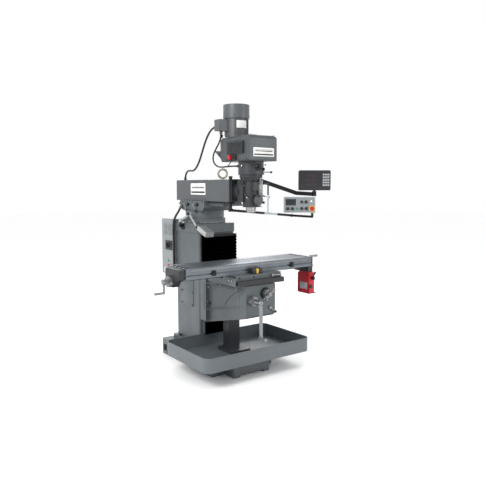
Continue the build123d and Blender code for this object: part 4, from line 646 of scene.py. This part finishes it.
def bellows(name, node, low, high, folds, depth):
    """Folded rubber cover between the column and the knee, with shallower folds at its sides."""
    piece = Piece(name, None, RUBBER)
    part = bmesh.new()
    rows = []
    front = low.y + 1
    steps = folds * FOLD_STEPS
    for step in range(steps + 1):
        share = step / steps
        wave = 0.5 - 0.5 * cos(2 * pi * share * folds)
        height = low.z + share * (high.z - low.z)
        row = []
        for column in range(COVER_COLUMNS + 1):
            across = low.x + (high.x - low.x) * column / COVER_COLUMNS
            shallower = 1 - 0.12 * abs(2 * column / COVER_COLUMNS - 1)
            row.append(part.verts.new((across, front + depth * wave * shallower, height)))
        rows.append(row)
    for lower, upper in zip(rows, rows[1:]):
        for column in range(COVER_COLUMNS):
            part.faces.new((lower[column], lower[column + 1], upper[column + 1], upper[column]))
    bmesh.ops.solidify(part, geom=part.faces[:], thickness=COVER_THICKNESS)
    bmesh.ops.recalc_face_normals(part, faces=part.faces[:])
    piece.take(part)
    item = piece.finish(replaces=(node,), smooth=60.0, ride=False)
    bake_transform(item)
    return item


bellows(
    "upper_bellows", "column_way_cover", cover_low, cover_high, folds=13, depth=13,
)
lower_low, lower_high = span("lower_way_cover")
bellows(
    "lower_bellows", "lower_way_cover", lower_low, lower_high, folds=5, depth=3,
)
clamp = Piece("bellows_clamp", "frame", BLACKED)
clamp.block((-162, 162), (cover_low.y - 3, cover_low.y + 20), (cover_high.z - 22, cover_high.z + 4), 1.5)
for clamp_x in (-150, -75, 0, 75, 150):
    clamp.socket_screw((clamp_x, cover_low.y - 3, cover_high.z - 9), (0, -1, 0), 5, 4)
clamp.finish()

# ---- cabinet
CABINET_SIDE = -230.0
CABINET_FRONT = span("electrical_cabinet")[0].x
panel_x = CABINET_SIDE - 6
BUTTON_Y = 490
BUTTONS = ((934, GREEN), (887, RED))
station = Piece("cabinet_station", "frame", BLACK)
station.block((panel_x - 4, panel_x + 1), (425, 555), (1040, 1134), 2)
station.turned([(0, 24), (3, 24), (4, 22), (4, 12)], (panel_x - 3, BUTTON_Y, 1087), (-1, 0, 0), 32)
station.finish()
for button_z, tint in BUTTONS:
    button = Piece("cabinet_button_%d" % button_z, "frame", tint, "black_plastic")
    place = (CABINET_FRONT + 5, BUTTON_Y, button_z)
    button.turned([(0, 11), (9, 11), (11, 9), (11, 0)], place, (-1, 0, 0), 24)
    button.finish()
rings = Piece("button_rings", "frame", CHROME)
for button_z, tint in BUTTONS:
    rings.turned([(0, 15), (3, 15), (5, 13), (5, 11)], (CABINET_SIDE, BUTTON_Y, button_z), (-1, 0, 0), 28)
rings.finish()
louvres = Piece("cabinet_louvres", "frame", CABINET_PAINT)
for row in range(7):
    for group_y in (470, 560):
        centre_z = 1195 + 17 * row
        matrix = Matrix((
            (0, -1, 0, CABINET_SIDE), (0, 0, 1, group_y - 32), (1, 0, 0, centre_z), (0, 0, 0, 1),
        ))
        louvres.prism([(-6, 0), (6, 0), (2, 7)], 64, matrix, 0.6)
louvres.finish()
handle = Piece("cabinet_handle", "frame", WHITE)
handle_line = ((-231, 812), (-246, 812), (-254, 818), (-254, 850), (-246, 856), (-231, 856))
handle.tube([(x, 545, z) for x, z in handle_line], 4.5, steps=12)
handle.finish()
door_low, door_high = span("cabinet_door")
latches = Piece("door_latches", "cabinet_door", CHROME)
latch_x, latch_y = door_low.x + 28, door_high.y
for latch_z in (900, 1240):
    latches.turned([(0, 13), (4, 13), (5, 11), (5, 4), (3, 4)], (latch_x, latch_y, latch_z), (0, 1, 0), 24)
    latches.block((latch_x - 2, latch_x + 2), (latch_y + 4.5, latch_y + 6), (latch_z - 9, latch_z + 9), 0.4)
latches.finish()

# ---- turret
turret_low, turret_high = span("turret_base")
TURRET_CENTRE = joint_point("turret_swivel")
TURRET_RING = (turret_high.x - turret_low.x) / 2
SADDLE_HALF_WIDTH = 158
scale = Piece("turret_scale", "turret", WHITE)
MARK_RING = TURRET_RING - 0.3
for mark in range(-45, 46, 3):
    angle = radians(-90 + mark)
    spot = Matrix.Translation((
        TURRET_CENTRE.x + MARK_RING * cos(angle), TURRET_CENTRE.y + MARK_RING * sin(angle), turret_low.z + 6,
    )) @ Matrix.Rotation(angle, 4, "Z")
    tall = 14 if mark % 15 == 0 else 8
    scale.block((0, 0.8), (-0.7, 0.7), (0, tall), 0, spot)
scale.finish()
saddle_levers = Piece("ram_clamp_levers", "turret", STEEL)
for boss_y in (116, 284):
    boss = (-SADDLE_HALF_WIDTH, boss_y, 1503)
    saddle_levers.turned([(0, 15), (8, 15), (12, 12), (16, 12), (17, 10)], boss, (-1, 0, 0), 28)
    saddle_levers.rod((-168, boss_y, 1503), (-172, boss_y - 40, 1452), 5.5, 4.5)
saddle_levers.finish()
lever_balls = Piece("ram_clamp_balls", "turret", BLACK)
lever_ball = [(0, 6), (4, 10), (12, 13), (20, 11), (25, 5), (26, 0)]
for ball_y in (76, 244):
    lever_balls.turned(lever_ball, (-172, ball_y, 1454), (-0.1, -0.6, -0.8), 24)
lever_balls.finish()

# ---- ram
RAM_SIDE = span("ram")[0].x


def badge(name, body, matrix, width, height):
    """Plain plate with dark bars and a rivet in each corner."""
    plate = Piece(name, body, WHITE)
    plate.block((-width / 2, width / 2), (-height / 2, height / 2), (0, 1.6), 0.6, matrix)
    plate.finish()
    band = Piece(name + "_band", body, DARK_ENAMEL_AND_SHADE, "grey_plastic")
    band.block((-width * 0.46, width * 0.46), (-height * 0.36, -height * 0.2), (1.5, 2.2), 0.1, matrix)
    band.finish()
    bars = Piece(name + "_bars", body, DARK_ENAMEL_AND_SHADE, "grey_plastic")
    for low, high in ((0.06, 0.16), (0.24, 0.28)):
        bars.block((-0.42 * width, 0.42 * width), (low * height, high * height), (1.5, 2.1), 0.1, matrix)
    bars.finish()
    rivets = Piece(name + "_rivets", body, STEEL)
    for corner_x in (-0.47, 0.47):
        for corner_y in (-0.42, 0.42):
            centre = matrix @ Vector((corner_x * width, corner_y * height, 1.4))
            out = matrix.to_3x3() @ Vector((0, 0, 1))
            rivets.turned([(0, 2.6), (0.8, 2.2), (1.3, 1.2), (1.4, 0)], centre, out, 14)
    rivets.finish()


def side_frame(origin, across, out):
    """Matrix with X along a face, Y up and Z out of it."""
    across = Vector(across).normalized()
    out = Vector(out).normalized()
    up = out.cross(across)
    return Matrix((
        (across.x, up.x, out.x, origin[0]), (across.y, up.y, out.y, origin[1]),
        (across.z, up.z, out.z, origin[2]), (0, 0, 0, 1),
    ))


badge("ram_plate", "ram", side_frame((RAM_SIDE, 89, 1652), (0, -1, 0), (-1, 0, 0)), 262, 108)
ram_knob = Piece("ram_knob", "ram", BLACK)
knob_profile = [(0, 15), (8, 15), (10, 12), (16, 19), (26, 19), (30, 15), (31, 0)]
ram_knob.turned(knob_profile, (0, -267, 1740), (0, 0, 1), 28)
ram_knob.finish()
gibs = Piece("ram_gib_screws", "turret", BLACKED)
for side in (-1, 1):
    gibs.side_screws(side * SADDLE_HALF_WIDTH, (-30, 60, 150, 240, 330), (1527,), side, 5, 4)
gibs.finish()

# ---- head
SPINDLE_Y = joint_point("spindle_pulley_spin").y
MOTOR_Y = joint_point("motor_spin").y
belt_low, belt_high = span("belt_cover")
tilt_place = joint_point("head_tilt")

tilt_nuts = Piece("tilt_nuts", "head", BLACKED)
NUT_REACH = 62
for nut_x in (-NUT_REACH, NUT_REACH):
    for nut_z in (-NUT_REACH, NUT_REACH):
        tilt_nuts.hexagon((nut_x, -478, tilt_place.z + nut_z), (0, -1, 0), 24, 16)
tilt_nuts.finish()

louvre_plate = Piece("cover_louvres", "head", DARK_ENAMEL_AND_SHADE)
LOUVRE_FACE = belt_low.x
louvre_plate.block((LOUVRE_FACE - 3, LOUVRE_FACE + 1), (-665, -435), (1953, 2058), 1.5)
LOUVRE_PITCH = 15.5
for row in range(6):
    low = 1964 + LOUVRE_PITCH * row
    matrix = Matrix(((-0.75, 0, 0, LOUVRE_FACE - 2), (0, 0, 1, -652), (0, 1, 0, low), (0, 0, 0, 1)))
    louvre_plate.prism([(0, 0), (9, 0), (0, 8)], 204, matrix, 0.5)
louvre_plate.side_screws(LOUVRE_FACE - 3, (-658, -442), (1960, 2051), -1, 4, 3)
louvre_plate.finish()
badge("cover_plate", "head", side_frame((2, belt_low.y, 1962), (1, 0, 0), (0, -1, 0)), 220, 73)

seam = Piece("cover_screws", "head", BLACKED)
for screw_x in (-120, 120):
    seam.socket_screw((screw_x, -735, belt_high.z - 14), (0, 0, 1), 5, 4)
for side in (-1, 1):
    seam.side_screws(side * 143, (-700, -560, -420), (1906,), side, 5, 4)
seam.finish()
Piece("cover_knob", "head", BLACK).turned(
    [(0, 8), (10, 7), (14, 13), (24, 13), (28, 9), (29, 0)], (-118, -300, 2104), (0, 0, 1), 24,
).finish()

MOTOR_TOP = span("motor_housing")[1].z
ribs = Piece("motor_ribs", "head", MOTOR_PAINT)
RIBS = 30
BOX_FROM, BOX_TO = 2.5, 3.9    # the turn, in radians, that the motor box covers
for rib in range(RIBS):
    angle = 2 * pi * rib / RIBS
    if BOX_FROM < angle < BOX_TO:
        continue
    spot = Matrix.Translation((0, MOTOR_Y, 0)) @ Matrix.Rotation(angle, 4, "Z")
    ribs.block((100, 109), (-1.8, 1.8), (MOTOR_TOP - 146, MOTOR_TOP - 6), 0.8, spot)
ribs.finish()
name_plate = Piece("motor_nameplate", "head", WHITE)
for column in range(12):
    angle = radians(-122 + 4.2 * column)
    spot = Matrix.Translation((0, MOTOR_Y, 0)) @ Matrix.Rotation(angle, 4, "Z")
    name_plate.block((108.6, 110.4), (-4.6, 4.6), (2186, 2250), 0.2, spot)
name_plate.finish()
COWL_TOP = span("motor_cowl")[1].z
cowl_rings = Piece("cowl_rings", "head", MOTOR_PAINT)
for ring in range(5):
    size = 22 + 17 * ring
    rim = [(0, size), (1.6, size), (1.6, size - 4), (0, size - 4)]
    cowl_rings.turned(rim, (0, MOTOR_Y, COWL_TOP - 1.8), (0, 0, 1), 48)
for screw in range(4):
    angle = radians(45 + 90 * screw)
    place = (117.4 * cos(angle), MOTOR_Y + 117 * sin(angle), 2294)
    cowl_rings.socket_screw(place, (cos(angle), sin(angle), 0), 5, 3)
cowl_rings.finish()

BOX_SIDE = span("motor_box")[0].x
Piece("motor_box_lid", "head", MOTOR_PAINT).block(
    (BOX_SIDE - 4, BOX_SIDE + 2), (-377, -295), (2164, 2254), 2.5,
).finish()
lid_screws = Piece("motor_box_screws", "head", STEEL)
lid_screws.side_screws(BOX_SIDE - 4, (-369, -303), (2172, 2246), -1, 4, 3)
lid_screws.finish()

switch_blocks = Piece("selector_blocks", "head", BLACK)
switch_blocks.turned([(0, 30), (6, 30), (9, 27), (12, 27)], (-143, -490, 1924), (-1, 0, 0), 36)
switch_blocks.block((-158, -143), (-560, -522), (1902, 1946), 3)
switch_blocks.rod((-158, -541, 1934), (-170, -541, 1934), 8)
switch_blocks.rod((-158, -541, 1914), (-168, -541, 1914), 7)
switch_blocks.finish()
second_lead = Piece("selector_tail", "head", SHEATH)
tail_line = (
    (-150, -490, 1902), (-153, -488, 1886), (-154, -470, 1866), (-150, -446, 1856), (-148, -430, 1851),
)
second_lead.tube(tail_line, 4, steps=10)
second_lead.finish()

front_y = SPINDLE_Y - 72
STOP_AXIS = (34, front_y - 14)
stop = Piece("quill_stop", "head", STEEL)
stop.rod((*STOP_AXIS, 1505), (*STOP_AXIS, 1742), 6)
stop.turned([(0, 15), (9, 15), (11, 13), (11, 6)], (*STOP_AXIS, 1628), (0, 0, 1), 32)
stop.turned([(0, 13), (5, 13), (6, 11), (6, 6)], (*STOP_AXIS, 1642), (0, 0, 1), 32)
stop.block((50, 66), (front_y - 12, front_y - 8), (1530, 1730), 1)
for lug_z in (1498, 1738):
    stop.block((22, 46), (front_y - 24, front_y + 10), (lug_z, lug_z + 10), 2)
stop.finish()
stop_marks = Piece("quill_stop_scale", "head", BLACK)
for mark in range(24):
    tall = 9 if mark % 4 == 0 else 5
    mark_z = 1536 + 8 * mark
    stop_marks.block((51, 51 + tall), (front_y - 12.6, front_y - 11.9), (mark_z, mark_z + 1), 0)
stop_marks.finish()
levers = Piece("head_levers", "head", STEEL)
levers.rod((50, -626, 1546), (60, -664, 1538), 5.5, 4.5)
levers.turned([(0, 15), (10, 15), (13, 12), (14, 0)], (46, -624, 1546), (0.5, -0.86, 0), 28)
levers.rod((-64, -612, 1586), (-108, -650, 1606), 5.5, 4.5)
levers.turned([(0, 14), (10, 14), (13, 11), (14, 0)], (-52, -602, 1582), (-0.75, -0.66, 0.2), 28)
levers.rod((-74, -560, 1688), (-126, -590, 1706), 5.5, 4.5)
levers.turned([(0, 17), (12, 17), (15, 14), (16, 0)], (-66, -560, 1684), (-1, 0, 0), 28)
levers.rod((-40, -640, 1832), (-58, -716, 1846), 5.5, 4.5)
levers.finish()
knobs = Piece("head_lever_knobs", "head", BLACK)
for tip, way in (
    ((60, -664, 1538), (0.3, -0.95, -0.1)), ((-108, -650, 1606), (-0.75, -0.66, 0.3)),
    ((-126, -590, 1706), (-0.85, -0.5, 0.3)), ((-58, -716, 1846), (-0.2, -0.95, 0.18)),
):
    knobs.turned([(-3, 5), (2, 9), (9, 12), (17, 11), (22, 6), (23, 0)], tip, way, 24)
knobs.finish()
housing_dial = Piece("head_dials", "head", BLACKED)
dial_profile = [(0, 30), (6, 30), (9, 27), (9, 12), (16, 12), (17, 10), (17, 0)]
housing_dial.turned(dial_profile, (-4, SPINDLE_Y - 110, 1838), (0, -1, 0), 40)
housing_dial.turned([(0, 14), (12, 14), (14, 12), (14, 0)], (60, SPINDLE_Y - 92, 1822), (0.5, -0.86, 0), 28)
housing_dial.finish()
Piece("spindle_nose", "spindle", CHROME).turned(
    [(0, 17), (0, 34), (2, 39.5), (14, 39.5), (16, 36)], (0, SPINDLE_Y, 1451), (0, 0, 1), 48,
).finish()
oilers = Piece("head_oilers", "head", CHROME)
for place, way in (
    ((-111, -600, 1850), (-1, -0.3, 0)), ((98, -640, 1860), (0.8, -0.6, 0)),
    ((40, -645, 1700), (0.5, -0.86, 0)),
):
    oilers.turned([(0, 6), (4, 6), (6, 8), (12, 8), (14, 5), (15, 0)], place, way, 18)
oilers.finish()

# ---- table
TABLE_FRONT = span("table")[0].y
dogs = Piece("table_dogs", "table", BLACKED)
for dog_x in (-420, 434):
    dogs.block((dog_x - 19, dog_x + 19), (TABLE_FRONT - 12, TABLE_FRONT), (938, 982), 3)
    dogs.hexagon((dog_x, TABLE_FRONT - 12, 972), (0, -1, 0), 13, 4)
dogs.finish()
limit = Piece("limit_switch_body", "saddle", BLACK)
for block_x in ((-54, -12), (12, 53)):
    limit.block(block_x, (-676, -640), (924, 970), 4)
for plunger_x in (-33, 33):
    limit.rod((plunger_x, -658, 970), (plunger_x, -658, 978), 5)
limit.finish()
Piece("limit_switch_middle", "saddle", YELLOW, "plain_steel").block(
    (-12, 12), (-674, -641), (924, 964), 2,
).finish()
front_rule = Piece("table_rule", "table", STEEL)
RULE_HALF = 640
RULE_MARK_DEPTH = (TABLE_FRONT - 1.6, TABLE_FRONT - 1.1)
front_rule.block((-RULE_HALF, RULE_HALF), (TABLE_FRONT - 1.2, TABLE_FRONT + 0.5), (990, 1002), 0.3)
front_rule.finish()
rule_marks = Piece("table_rule_marks", "table", BLACKED)
for mark in range(RULE_HALF // 5 + 1):
    mark_x = 10 * mark - RULE_HALF
    tall = 9 if mark % 10 == 0 else 6 if mark % 5 == 0 else 4
    rule_marks.block((mark_x - 0.4, mark_x + 0.4), RULE_MARK_DEPTH, (1001 - tall, 1001), 0)
rule_marks.finish()

LEAD = joint_point("lead_screw_turn")
DIAL_MARKS = 50


def graduated(name, body, centre, axis, radius, width):
    """Dial collar with an engraved scale."""
    axis = Vector(axis).normalized()
    collar = Piece(name, body, STEEL)
    profile = [(0, radius - 1.5), (1.5, radius), (width - 1.5, radius), (width, radius - 1.5)]
    collar.turned(profile, centre, axis, 64)
    collar.finish()
    marks = Piece(name + "_marks", body, BLACKED)
    matrix = turn_to(axis, centre)
    for mark in range(DIAL_MARKS):
        spot = matrix @ Matrix.Rotation(2 * pi * mark / DIAL_MARKS, 4, "Z")
        tall = 0.62 * width if mark % 5 == 0 else 0.38 * width
        marks.block((radius - 0.2, radius + 0.35), (-0.45, 0.45), (1.5, 1.5 + tall), 0, spot)
    marks.finish()


graduated("left_table_dial", "lead_screw", (-747, LEAD.y, LEAD.z), (-1, 0, 0), 37, 22)
graduated("right_table_dial", "lead_screw", (742, LEAD.y, LEAD.z), (1, 0, 0), 37, 22)
cross_place = joint_point("cross_screw_turn")
graduated("cross_dial", "cross_screw", (cross_place.x, -748, cross_place.z), (0, -1, 0), 34, 20)
knee_place = joint_point("knee_crank_turn")
graduated("knee_dial", "knee_crank", (knee_place.x, -752, knee_place.z), (0, -1, 0), 36, 20)

feed_low, feed_high = span("power_feed")
feed = Piece("feed_bottom", "table", BLACK)
feed.block(
    (feed_low.x + 4, feed_high.x - 4), (feed_low.y + 6, feed_high.y - 6), (feed_low.z - 5, feed_low.z + 3), 2,
)
feed_knob = [(0, 19), (4, 19), (9, 16), (15, 17), (17, 15), (17, 0)]
feed.turned(feed_knob, (705, feed_low.y + 1, 720), (0, -1, 0), 30)
feed.finish()
feed_plate = Piece("feed_plate", "table", GREY_PLASTIC)
feed_plate.block((feed_low.x - 1.5, feed_low.x + 0.5), (feed_low.y + 30, feed_high.y - 40), (690, 756), 0.6)
feed_plate.finish()
feed_screws = Piece("feed_screws", "table", BLACKED)
for side, feed_side in ((-1, feed_low.x), (1, feed_high.x)):
    feed_screws.side_screws(feed_side, (feed_low.y + 14, feed_high.y - 14), (672, 842), side, 4, 3)
feed_screws.finish()

# ---- saddle and knee
SADDLE_SIDE = 245
wiper = Piece("saddle_wiper", "saddle", RUBBER)
for side in (-1, 1):
    wiper.block(sorted((side * 246, side * 251)), (-688, -560), (902, 921), 1.5)
wiper.finish()
oil = Piece("saddle_oiler", "saddle", CHROME)
oil_cap = [(0, 6), (4, 6), (6, 8), (10, 8), (12, 4), (12, 0)]
for oil_y in (-640, -600, -320):
    oil.turned(oil_cap, (-SADDLE_SIDE, oil_y, 880), (-1, 0, 0), 18)
oil.finish()
hooks = Piece("saddle_gib_screws", "saddle", BLACKED)
hooks.side_screws(SADDLE_SIDE, (-660, -540, -420, -300), (866,), 1, 6, 5)
for screw_x in (-210, -60, 210):
    hooks.socket_screw((screw_x, -695, 902), (0, -1, 0), 6, 5)
hooks.finish()

KNEE_SIDE = span("knee")[0].x
knee_panel = Piece("knee_side_panel", "knee", CASTING)
outline = [(-670, 640), (-110, 530), (-110, 790), (-670, 790)]
knee_panel.tube([(KNEE_SIDE, y, z) for y, z in outline + outline[:1]], 3.2, steps=10, fair=False)
knee_panel.finish()
oil_lines = Piece("oil_lines", "knee", BLACK)
for line in (
    ((5, -700, 812), (7, -610, 806), (6, -470, 810), (7, -330, 800), (6, -220, 770), (5, -150, 700)),
    ((5, -700, 800), (6, -600, 760), (7, -520, 700), (5, -470, 640)),
):
    oil_lines.tube([(KNEE_SIDE - away, y, z) for away, y, z in line], 3, steps=8)
oil_lines.finish()
clips = Piece("oil_line_clips", "knee", STEEL)
for clip_y, clip_z in ((-640, 807), (-400, 806), (-200, 757)):
    clips.block((KNEE_SIDE - 11, KNEE_SIDE), (clip_y - 5, clip_y + 5), (clip_z - 8, clip_z + 6), 1)
clips.finish()
knee_lock = Piece("knee_locks", "knee", STEEL)
knee_lock.turned([(0, 16), (12, 16), (15, 13), (16, 0)], (-160, -92, 640), (-1, 0, 0), 28)
knee_lock.rod((-170, -92, 640), (-176, -150, 600), 6, 5)
knee_lock.turned([(0, 15), (14, 15), (17, 12), (18, 0)], (100, -720, 620), (0, -1, 0), 28)
knee_lock.rod((100, -732, 620), (138, -742, 588), 6, 5)
knee_lock.finish()
lock_balls = Piece("knee_lock_balls", "knee", BLACK)
lock_ball = [(-2, 5), (2, 9), (9, 12), (17, 11), (22, 6), (23, 0)]
lock_balls.turned(lock_ball, (-176, -150, 600), (-0.1, -0.8, -0.56), 24)
lock_balls.turned(lock_ball, (138, -742, 588), (0.75, -0.2, -0.63), 24)
lock_balls.finish()
backplate = Piece("cross_dial_plate", "knee", BLACKED)
backplate.turned([(0, 52), (5, 52), (7, 50), (7, 20)], (cross_place.x, -720, cross_place.z), (0, -1, 0), 44)
for turn in range(4):
    angle = radians(45 + 90 * turn)
    place = (cross_place.x + 43 * cos(angle), -727, cross_place.z + 43 * sin(angle))
    backplate.socket_screw(place, (0, -1, 0), 4, 3)
backplate.finish()

# ---- display and pendant
SCREEN_TURN = radians(36)
ACROSS = Vector((cos(SCREEN_TURN), -sin(SCREEN_TURN), 0))
FACING = Vector((-sin(SCREEN_TURN), -cos(SCREEN_TURN), 0))
DISPLAY_RISE, DISPLAY_HALF_DEPTH = 92, 23
display_face = joint_point("dro_turn") + Vector((0, 0, DISPLAY_RISE)) + FACING * DISPLAY_HALF_DEPTH
on_display = side_frame(display_face, ACROSS, FACING)
Piece("display_glass", "dro_display", SCREEN, "black_plastic").block(
    (-128, 60), (-60, 76), (-2.8, -1.2), 1, on_display,
).finish()
readout = Piece("display_digits", "dro_display", DIGITS, "red_plastic")
MIDDLE_BAR = (0, 0, 10, 1.6)
BARS = (
    (0, -10, 10, 1.6), MIDDLE_BAR, (0, 10, 10, 1.6),
    (-5, -5, 1.6, 8), (5, -5, 1.6, 8), (-5, 5, 1.6, 8), (5, 5, 1.6, 8),
)
for row in range(3):
    for place in range(6):
        if place < 2 and row != 1:
            continue
        for bar in BARS:
            if bar is MIDDLE_BAR and place != 2:
                continue
            bar_x, bar_y, wide, high = bar
            bar_x += 22 * place - 104
            bar_y += 44 - 40 * row
            across = (bar_x - wide / 2, bar_x + wide / 2)
            readout.block(across, (bar_y - high / 2, bar_y + high / 2), (-1.4, -1.0), 0, on_display)
readout.finish()
keys = Piece("display_keys", "dro_display", GREY_PLASTIC)
for row in range(5):
    for column in range(4):
        key_x, key_y = 74 + 16 * column, 44 - 24 * row
        keys.block((key_x, key_x + 12), (key_y, key_y + 16), (0, 2.6), 1.2, on_display)
keys.finish()
Piece("display_bezel", "dro_display", BLACK).block(
    (-140, 140), (-88, -72), (-0.5, 1.6), 0.8, on_display,
).finish()

PENDANT_RISE, PENDANT_REACH, PENDANT_HALF_DEPTH = 78.3, 118, 26
pendant_corner = joint_point("pendant_turn") + Vector((0, 0, PENDANT_RISE))
pendant_face = pendant_corner - ACROSS * PENDANT_REACH + FACING * PENDANT_HALF_DEPTH
on_pendant = side_frame(pendant_face, ACROSS, FACING)
Piece("pendant_screen", "pendant_panel", SCREEN, "black_plastic").block(
    (-128, -34), (-6, 52), (-0.4, 1.6), 1, on_pendant,
).finish()
pendant_plate = Piece("pendant_plate", "pendant_panel", CABINET_PAINT, "grey_plastic")
pendant_plate.block((-134, 134), (-66, 66), (-0.2, 0.9), 0.4, on_pendant)
pendant_plate.finish()
pendant_knobs = Piece("pendant_knobs", "pendant_panel", BLACK)
pendant_knob = [(0, 15), (3, 15), (5, 11), (16, 10), (18, 8), (18, 0)]
for knob_x, knob_y in ((58, 26), (-108, -36), (-66, -36), (18, -34), (60, -34)):
    pendant_knobs.turned(pendant_knob, on_pendant @ Vector((knob_x, knob_y, 0.8)), FACING, 28)
    pendant_knobs.block((knob_x - 1.2, knob_x + 1.2), (knob_y, knob_y + 10), (18.2, 19.4), 0.2, on_pendant)
pendant_knobs.finish()
Piece("pendant_start", "pendant_panel", GREEN, "black_plastic").turned(
    [(0, 11), (7, 11), (9, 9), (9, 0)], on_pendant @ Vector((-24, -36, 0.8)), FACING, 24,
).finish()
Piece("pendant_lamp", "pendant_panel", WHITE).turned(
    [(0, 9), (4, 9), (7, 6), (8, 0)], on_pendant @ Vector((104, 32, 0.8)), FACING, 24,
).finish()
collar = Piece("stop_collar", "pendant_panel", YELLOW, "black_plastic")
collar.turned([(0, 27), (2, 27), (3, 25), (3, 10)], on_pendant @ Vector((112, -34, 0.6)), FACING, 36)
collar.finish()

# ---- machine light
LAMP_SLOPE = radians(22)
wrist = joint_point("light_tilt")
lamp_run = Vector((0, -cos(LAMP_SLOPE), -sin(LAMP_SLOPE)))
lamp_up = Vector((0, -sin(LAMP_SLOPE), cos(LAMP_SLOPE)))
lamp_start = Vector((wrist.x + 26, wrist.y, wrist.z)) + lamp_run * 20
on_lamp = Matrix((
    (1, lamp_run.x, lamp_up.x, lamp_start.x), (0, lamp_run.y, lamp_up.y, lamp_start.y),
    (0, lamp_run.z, lamp_up.z, lamp_start.z), (0, 0, 0, 1),
))
lens = Piece("lamp_lens", "light_head", LENS, "white_plastic")
lens.block((-38, 38), (10, 140), (-19, -16), 1, on_lamp)
lens.finish()
reflector = Piece("lamp_reflector", "light_head", CHROME)
reflector.block((-37, 37), (11, 139), (7, 9.5), 0.5, on_lamp)
for tube in (-20, 0, 20):
    reflector.rod(on_lamp @ Vector((tube, 16, -2)), on_lamp @ Vector((tube, 134, -2)), 6)
reflector.finish()
fins = Piece("lamp_fins", "light_head", BLACK)
for fin in range(7):
    fins.block((-30, 30), (30 + 14 * fin, 35 + 14 * fin), (10.5, 14), 1.2, on_lamp)
fins.finish()
light_knobs = Piece("light_knobs", "light_forearm", BLACK)
elbow = joint_point("light_elbow")
beside = Vector((-8, 0, 0))
light_knobs.turned([(0, 14), (4, 16), (14, 16), (17, 12), (17, 0)], elbow + beside, (-1, 0, 0), 20)
light_knobs.turned([(0, 12), (4, 14), (12, 14), (15, 10), (15, 0)], wrist + beside, (-1, 0, 0), 20)
light_knobs.finish()

# ---- studio
def studio():
    """Pale floor, white surroundings and soft area lights."""
    floor_mesh = bpy.data.meshes.new("floor")
    reach, drop = 30.0, -0.001
    corners = [(-reach, -reach, drop), (reach, -reach, drop), (reach, reach, drop), (-reach, reach, drop)]
    floor_mesh.from_pydata(corners, [], [(0, 1, 2, 3)])
    shader = Shader("floor")
    speck = shader.remap(shader.noise(3.0, 4.0), 0.0, 1.0)
    shader.colour(shader.mix(speck, (0.98, 0.98, 0.98, 1.0), (0.995, 0.995, 0.995, 1.0)))
    shader.roughness(shader.remap(shader.noise(8.0), 0.6, 0.75))
    floor_mesh.materials.append(shader.material)
    floor = bpy.data.objects.new("floor", floor_mesh)
    SCENE.collection.objects.link(floor)
    world = bpy.data.worlds.new("studio")
    world.use_nodes = True
    world.node_tree.nodes["Background"].inputs["Color"].default_value = (1.0, 1.0, 1.0, 1.0)
    world.node_tree.nodes["Background"].inputs["Strength"].default_value = 1.0
    SCENE.world = world
    for name, place, aim, size, power in (
        ("key", (-4.6, -1.6, 4.2), (0, -0.2, 1.1), 2.4, 210),
        ("fill", (2.8, -5.2, 2.6), (0, -0.3, 1.1), 2.6, 50),
        ("rim", (2.4, 3.6, 4.0), (0, 0, 1.4), 2.4, 120),
    ):
        data = bpy.data.lights.new(name, "AREA")
        data.shape = "DISK"
        data.size = size
        data.energy = power
        lamp = bpy.data.objects.new(name, data)
        lamp.location = place
        lamp.rotation_euler = (Vector(aim) - Vector(place)).to_track_quat("-Z", "Y").to_euler()
        SCENE.collection.objects.link(lamp)


studio()
SCENE.view_settings.view_transform = "Standard"
